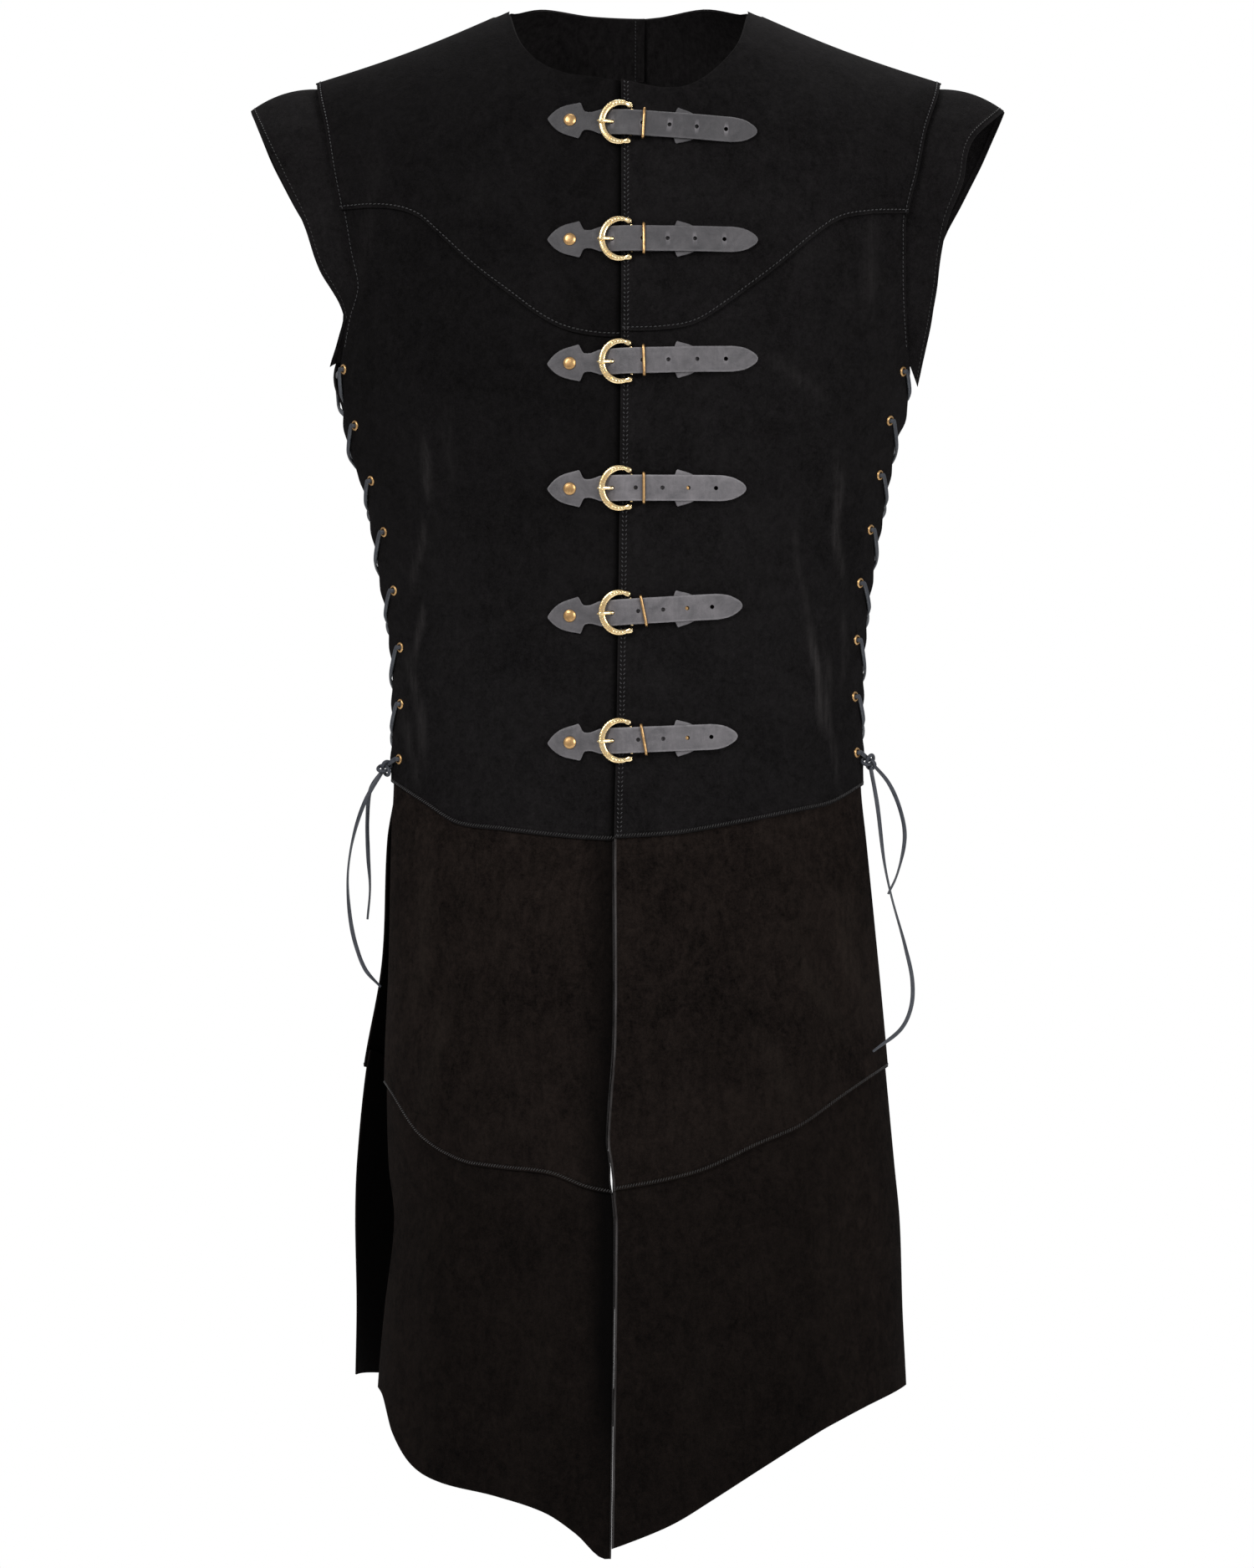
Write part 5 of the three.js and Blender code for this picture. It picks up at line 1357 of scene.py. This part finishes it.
# Stitching
for half in HALF_SIGN:
    for side in SIDE_SIGN:
        body, skirt = panels[f"{half}_body_{side}"][0], panels[f"{half}_skirt_{side}"][0]
        armhole = float((body.z[:, -1] > UNDERARM_Z + 4).mean())
        overcast = [inset_row(body, "bottom", 1.7, 1), inset_row(skirt, "bottom", 1.7, 0)]
        straight, chained = [], []
        if half == "front":
            yoke = panels[f"yoke_{side}"][0]
            straight += [inset_row(yoke, "bottom", STITCH_INSET, 2), inset_row(yoke, "side", STITCH_INSET, 2)]
            yoked = float((body.z[:, -1] > yoke.z[-1, -1]).mean())
            straight.append(inset_row(body, "side", STITCH_INSET, 1, yoked, armhole))
            if side == "left":
                below = float((body.z[:, 0] > yoke.z[-1, 0]).mean())
                chained += [(inset_row(body, "centre", gap, 1, below), turn) for gap, turn in PLACKET_ROWS]
                chained += [(inset_row(yoke, "centre", gap, 2), turn) for gap, turn in PLACKET_ROWS]
        else:
            straight.append(inset_row(body, "side", STITCH_INSET, 1, 0.0, armhole))
            if side == "left":
                straight.append(inset_row(body, "centre", STITCH_INSET, 1))
            else:
                straight.append(inset_row(body, "centre", INNER_SEAM_INSET, 1, inside=True))
        shapes = [stitches(straight)]
        shapes += [stitches([line], STITCH_PITCH, 1.9, turn, 0.4) for line, turn in chained]
        make_piece(f"{half}_stitches_{side}", join(shapes), THREAD)
        make_piece(f"{half}_overcast_{side}", stitches(overcast, 1.9, 2.7, 1.3, 0.36), DARK_THREAD)
for side in SIDE_SIGN:
    lines = [inset_row(sleeves[side], "bottom", SLEEVE_HEM_INSET, 0)]
    make_piece(f"sleeve_stitches_{side}", stitches(lines, half=SLEEVE_STITCH_HALF), DARK_THREAD)

# Eyelets, a ring on each face of the leather
EYELET_RIM = [(2.0, -0.1), (2.1, 0.55), (2.5, 0.95), (3.0, 0.95), (3.5, 0.6), (3.75, 0.1), (3.7, -0.25),
              (2.9, -0.3), (2.2, -0.3)]
EYELET_PROUD = 0.1


def eyelet(point, normal, height):
    """A rolled ring: the rim's profile turned into a closed loop."""
    radius, up = np.array(EYELET_RIM).T
    angle = np.linspace(0, 2 * np.pi, 24, endpoint=False)
    rings = np.stack([radius * np.cos(angle)[:, None], radius * np.sin(angle)[:, None],
                      np.repeat(up[None], len(angle), axis=0)], axis=-1)
    return turned_to(tube(rings, closed=True), point + normal * height, normal)


for half in HALF_SIGN:
    for side in SIDE_SIGN:
        rings = []
        for level in range(len(EYELETS[side])):
            point, normal, _, _ = eyelet_place(half, side, level)
            rings += [eyelet(point, normal, LAYER + EYELET_PROUD),
                      eyelet(point + normal * (LAYER - WALL - EYELET_PROUD), -normal, 0)]
        make_piece(f"{half}_eyelets_{side}", join(rings), OLD_BRASS, "old_brass")

# Buckle sets


def over_panels(row, x, across, height):
    """A point over the panels, by its place along and across a tilted strap."""
    z, tilt, _, _, layers, _ = row
    tilt = math.radians(tilt)
    x, across, height = np.broadcast_arrays(np.asarray(x, float), across, height)
    at_x = RIVET_X + (x - RIVET_X) * math.cos(tilt) + across * math.sin(tilt)
    at_z = z - (x - RIVET_X) * math.sin(tilt) + across * math.cos(tilt)
    left = surface("front", "left", np.abs(at_x), at_z, lapped=False, creased=False)[..., 1]
    right = surface("front", "right", np.abs(at_x), at_z, lapped=False, creased=False)[..., 1]
    y = np.where(at_x < 0, right, left) - layers * LAYER - height
    return np.stack([at_x, y, at_z], axis=-1)


def band(row, x, half, column, thick, around=20):
    """A flat band with rounded edges: superellipse sections whose middle follows the
    height table, laid over the panels."""
    wide, high = section(around, 5)
    low = RISE.read(column, x)[:, None]
    half = half[:, None]
    rings = over_panels(row, x[:, None], half * wide, low + thick / 2 * (1 + high))
    return tube(rings)


# Angle in degrees past which an edge of a cut piece is sharp
HOLE_EDGE = 50


def cut_holes(piece, cutters):
    """Takes closed cutters out of a piece."""
    points, quads, triangles = join(cutters)
    quads, triangles = outward(points, quads, triangles)
    mesh = bpy.data.meshes.new("cutter")
    mesh.from_pydata((points * MM).tolist(), [], quads.tolist() + triangles.tolist())
    cutter = put_in("cutter", mesh)
    modifier = piece.modifiers.new("holes", "BOOLEAN")
    modifier.object = cutter
    modifier.operation = "DIFFERENCE"
    modifier.solver = "EXACT"
    evaluated = piece.evaluated_get(bpy.context.evaluated_depsgraph_get())
    cut = bpy.data.meshes.new_from_object(evaluated)
    piece.modifiers.clear()
    cut.set_sharp_from_angle(angle=math.radians(HOLE_EDGE))
    piece.data = cut
    bpy.data.objects.remove(cutter)
    bpy.data.meshes.remove(mesh)


def half_widths(x, table):
    keys, values = np.array(table, float).T
    return np.interp(x, keys, values)


def strap_outline(row):
    """Half widths along a strap: the arrow at its rivet and the rounded free tip."""
    arrow = [(RIVET_X + along, half) for along, half in ARROW]
    return arrow + [(row[2] - back, half) for back, half in FREE_TIP]


def tab_outline():
    """Half widths along a base tab: cut square at the bar, with a shorter arrow turned round."""
    arrow = [(TAB_RIVET_X - along * TAB_ARROW_SCALE, half) for along, half in reversed(ARROW)]
    return [(BAR_X + 1.6, STRAP_HALF)] + arrow


def outlined_band(row, outline, cells, column, thick):
    """A band with this outline, cut at even steps and at each point of the outline."""
    even = np.linspace(outline[0][0], outline[-1][0], cells)
    x = np.unique(np.concatenate([even, [at for at, _ in outline]]))
    return band(row, x, half_widths(x, outline), column, thick)


def peg(row, x, across, radius, low, high, around=16):
    """An upright round peg through a strap, for a hole."""
    centre = over_panels(row, x, across, RISE.read("strap", x))
    rings = lathe([(radius, low), (radius, high)], around)
    return turned_to(rings, centre, (0, -1, 0))


def band_rim(shape, row, half_of):
    """One at a band's narrow edges, falling inwards over two millimetres."""
    points = shape[0]
    z, tilt = row[0], math.radians(row[1])
    along = (points[:, 0] - RIVET_X) * math.cos(tilt) - (points[:, 2] - z) * math.sin(tilt)
    across = (points[:, 0] - RIVET_X) * math.sin(tilt) + (points[:, 2] - z) * math.cos(tilt)
    inside = half_of(along + RIVET_X) - np.abs(across)
    return 1 - smoothstep(inside, 0.2, 1.5)


BUCKLE_X = -6
BUCKLE_REACH = 12.6
BUCKLE_HALF = 13.9
BAR_HALF = 9.6
BAR_MIDDLE = BAR_HEIGHT - 0.6
STRAP_CREASE = 60
BEAD = [(0.02, -0.6), (0.85, -0.5), (1.05, 0), (0.8, 0.4), (0.02, 0.6)]


def buckle(row):
    """A horseshoe: a flat band on an arc of an ellipse, cut by ticks at the left, narrowed
    before a small knob at each end, with beads between, and a straight bar under the strap."""
    degrees = np.linspace(-128, 128, 320)
    angle = np.radians(degrees)
    turn = np.abs(degrees)
    x = BUCKLE_X - BUCKLE_REACH * np.cos(angle)
    across = BUCKLE_HALF * np.sin(angle) - 0.9 * smoothstep(-degrees, 100, 124)
    height = np.interp(x, [BUCKLE_X - BUCKLE_REACH, BAR_X], [ARC_HEIGHT, BAR_HEIGHT])
    tick = (np.cos(2 * np.pi * degrees / 8.6) > 0.4) * (turn < 60) * (turn > 5)
    neck = np.exp(-((turn - 106) / 4) ** 2)
    knob = np.exp(-((turn - 119) / 5) ** 2)
    end = smoothstep(turn, 124, 128)
    wide = 2.35 - 0.5 * smoothstep(turn, 60, 104) - 0.16 * tick - 0.35 * neck + 0.3 * knob - 1.1 * end
    thick = 1.35 - 0.28 * tick - 0.25 * neck + 0.15 * knob - 0.7 * end
    path = over_panels(row, x, across, height)
    facing = np.broadcast_to([0.0, -1.0, 0.0], path.shape)
    shapes = [thong(path, facing, wide, thick, 16, 2.5)]
    for degree in (-95, -85, -75, -65, 65, 75, 85, 95):
        at = math.radians(degree)
        place = over_panels(row, BUCKLE_X - BUCKLE_REACH * math.cos(at), BUCKLE_HALF * math.sin(at),
                            ARC_HEIGHT + 1.15)
        shapes.append(turned_to(lathe(BEAD, 12), place, (0, -1, 0)))
    bar = np.linspace(-BAR_HALF, BAR_HALF, 30)
    shapes.append(wire(over_panels(row, BAR_X + 0 * bar, bar, BAR_MIDDLE + 0 * bar), 1.1, 10))
    return join(shapes)


def tongue(row):
    """A flat pin from an eye on the bar over the frame, its tip hooked down past it."""
    x = np.linspace(0.6, -21.6, 70)
    height = TONGUE.read("height", x) - 1.2 * smoothstep(-x, 20.2, 21.6)
    wide = 1.2 + 0.25 * np.exp(-((x + 17.4) / 0.7) ** 2) - 0.5 * smoothstep(-x, 20.4, 21.6)
    path = over_panels(row, x, 0, height)
    facing = np.broadcast_to([0.0, -1.0, 0.0], path.shape)
    loop = np.linspace(0, 2 * np.pi, 28, endpoint=False)
    eye = over_panels(row, BAR_X + 1.9 * np.cos(loop), 0, BAR_MIDDLE + 1.9 * np.sin(loop))
    return join([thong(path, facing, wide, 0.75, 12, 2.4), wire(eye, 0.7, 8, True, (0, 0, 1))])


def keeper(row):
    """A rounded oblong of round wire about the strap and its tab."""
    lean = row[3]
    angle = np.linspace(0, 2 * np.pi, 72, endpoint=False)
    raised = lambda v, power: np.sign(v) * np.abs(v) ** power
    across = KEEPER_HALF * raised(np.cos(angle), 0.28)
    middle, half = (KEEPER_HIGH + KEEPER_LOW) / 2, (KEEPER_HIGH - KEEPER_LOW) / 2
    height = middle + half * raised(np.sin(angle), 0.36)
    return wire(over_panels(row, KEEPER_X - lean * across, across, height), 1.0, 10, True, (0.3, 0.2, 1))


DOME = [(4.3, 0), (4.4, 0.25), (4.3, 0.6), (3.95, 0.9), (3.6, 1.0), (3.4, 1.2), (2.6, 1.45), (1.4, 1.6),
        (0.03, 1.65)]


def rivet(row):
    """A domed cap with a flat flange."""
    _, facing = skin("front", "right", -RIVET_X, row[0])
    return turned_to(lathe(DOME, 36), over_panels(row, RIVET_X, 0, 0.5 + STRAP_THICK), facing)


def tab_rivet(row):
    """The low cap that holds the base tab, seen through a hole of the strap."""
    cap = [(2.6, 0), (2.5, 0.35), (1.8, 0.6), (0.9, 0.72), (0.03, 0.75)]
    height = float(RISE.read("tab", TAB_RIVET_X)) + TAB_THICK
    return turned_to(lathe(cap, 20), over_panels(row, TAB_RIVET_X, 0, height), (0, -1, 0))


def strap_shade(x, number):
    """Share of painted shade on a strap: the strap's own, and more on the arrow left of the buckle."""
    own = STRAP_SHADES[number - 1]
    return own + (1 - own) * 0.28 * (1 - smoothstep(x, -30, -12))


for number, row in enumerate(SETS, 1):
    tip, outline = row[2], strap_outline(row)
    shape = outlined_band(row, outline, 150, "strap", STRAP_THICK)
    rim = band_rim(shape, row, lambda x: half_widths(x, outline))
    piece = make_piece(f"strap_{number}_leather", shape, STRAP_LEATHER, "strap_leather", [f"strap_{number}"],
                       {"rim": rim, "shade": strap_shade(shape[0][:, 0], number)}, STRAP_CREASE)
    holes = [peg(row, x, 0, HOLE_RADIUS, -2, 5) for x in row[5]]
    cut_holes(piece, holes + [peg(row, SLOT_X, 0, SLOT_RADIUS, -3, 5)])
    low = outlined_band(row, tab_outline(), 70, "tab", TAB_THICK)
    piece = make_piece(f"base_tab_{number}_leather", low, STRAP_LEATHER, "strap_leather",
                       [f"base_tab_{number}"],
                       {"rim": 0.4 + 0 * low[0][:, 0], "shade": strap_shade(low[0][:, 0], number)},
                       STRAP_CREASE)
    for node, ending, shape_of, brass, slot in (("buckle", "frame", buckle, BRIGHT_BRASS, "bright_brass"),
                                                ("tongue", "pin", tongue, BRIGHT_BRASS, "bright_brass"),
                                                ("keeper", "wire", keeper, OLD_BRASS, "old_brass"),
                                                ("rivet", "cap", rivet, OLD_BRASS, "old_brass")):
        make_piece(f"{node}_{number}_{ending}", shape_of(row), brass, slot, [f"{node}_{number}"])
    make_piece(f"tab_rivet_{number}", tab_rivet(row), OLD_BRASS, "old_brass")

# Floor and light


FLOOR_RADIUS = 2.3
FLOOR_Z = -1.5
FLOOR_CORNERS = 96


def make_floor():
    """A pale disc below the hem, in metres."""
    look = Look("floor", Roughness=0.9)
    colour = look.blend(look.ramp(look.noise(3), 0.3, 0.7), (0.86, 0.86, 0.86), (0.9, 0.9, 0.9))
    material = look.finish(colour)
    mesh = bpy.data.meshes.new("floor")
    angle = np.linspace(0, 2 * np.pi, FLOOR_CORNERS, endpoint=False)
    points = np.stack([FLOOR_RADIUS * np.cos(angle), FLOOR_RADIUS * np.sin(angle),
                       np.full(FLOOR_CORNERS, FLOOR_Z)], axis=1)
    mesh.from_pydata(points.tolist(), [], [list(range(FLOOR_CORNERS))])
    mesh.materials.append(material)
    floor = put_in("floor", mesh)


def make_light(name, place, power, size, target=(0, 0, -0.5)):
    data = bpy.data.lights.new(name, "AREA")
    data.energy = power
    data.shape = "DISK"
    data.size = size
    lamp = put_in(name, data)
    lamp.location = place
    aim = np.array(target) - np.array(place)
    lamp.rotation_euler = (math.atan2(math.hypot(aim[0], aim[1]), -aim[2]), 0,
                           math.atan2(aim[1], aim[0]) - math.pi / 2)


def make_world():
    """White behind everything, and a dimmer even light on the object."""
    world = bpy.data.worlds.new("studio")
    world.use_nodes = True
    nodes, links = world.node_tree.nodes, world.node_tree.links
    back = nodes["Background"]
    back.inputs["Color"].default_value = (1, 1, 1, 1)
    rays = nodes.new("ShaderNodeLightPath")
    strength = nodes.new("ShaderNodeMapRange")
    strength.inputs["To Min"].default_value = 0.55
    strength.inputs["To Max"].default_value = 1.0
    links.new(rays.outputs["Is Camera Ray"], strength.inputs["Value"])
    links.new(strength.outputs["Result"], back.inputs["Strength"])
    bpy.context.scene.world = world
    bpy.context.scene.view_settings.view_transform = "Standard"


make_floor()
make_world()
make_light("key", (-1.7, -2.6, 1.3), 76, 1.3)
make_light("fill", (2.2, -2.4, 0.3), 52, 1.6)
make_light("top", (0.3, 0.9, 1.9), 45, 1.4)
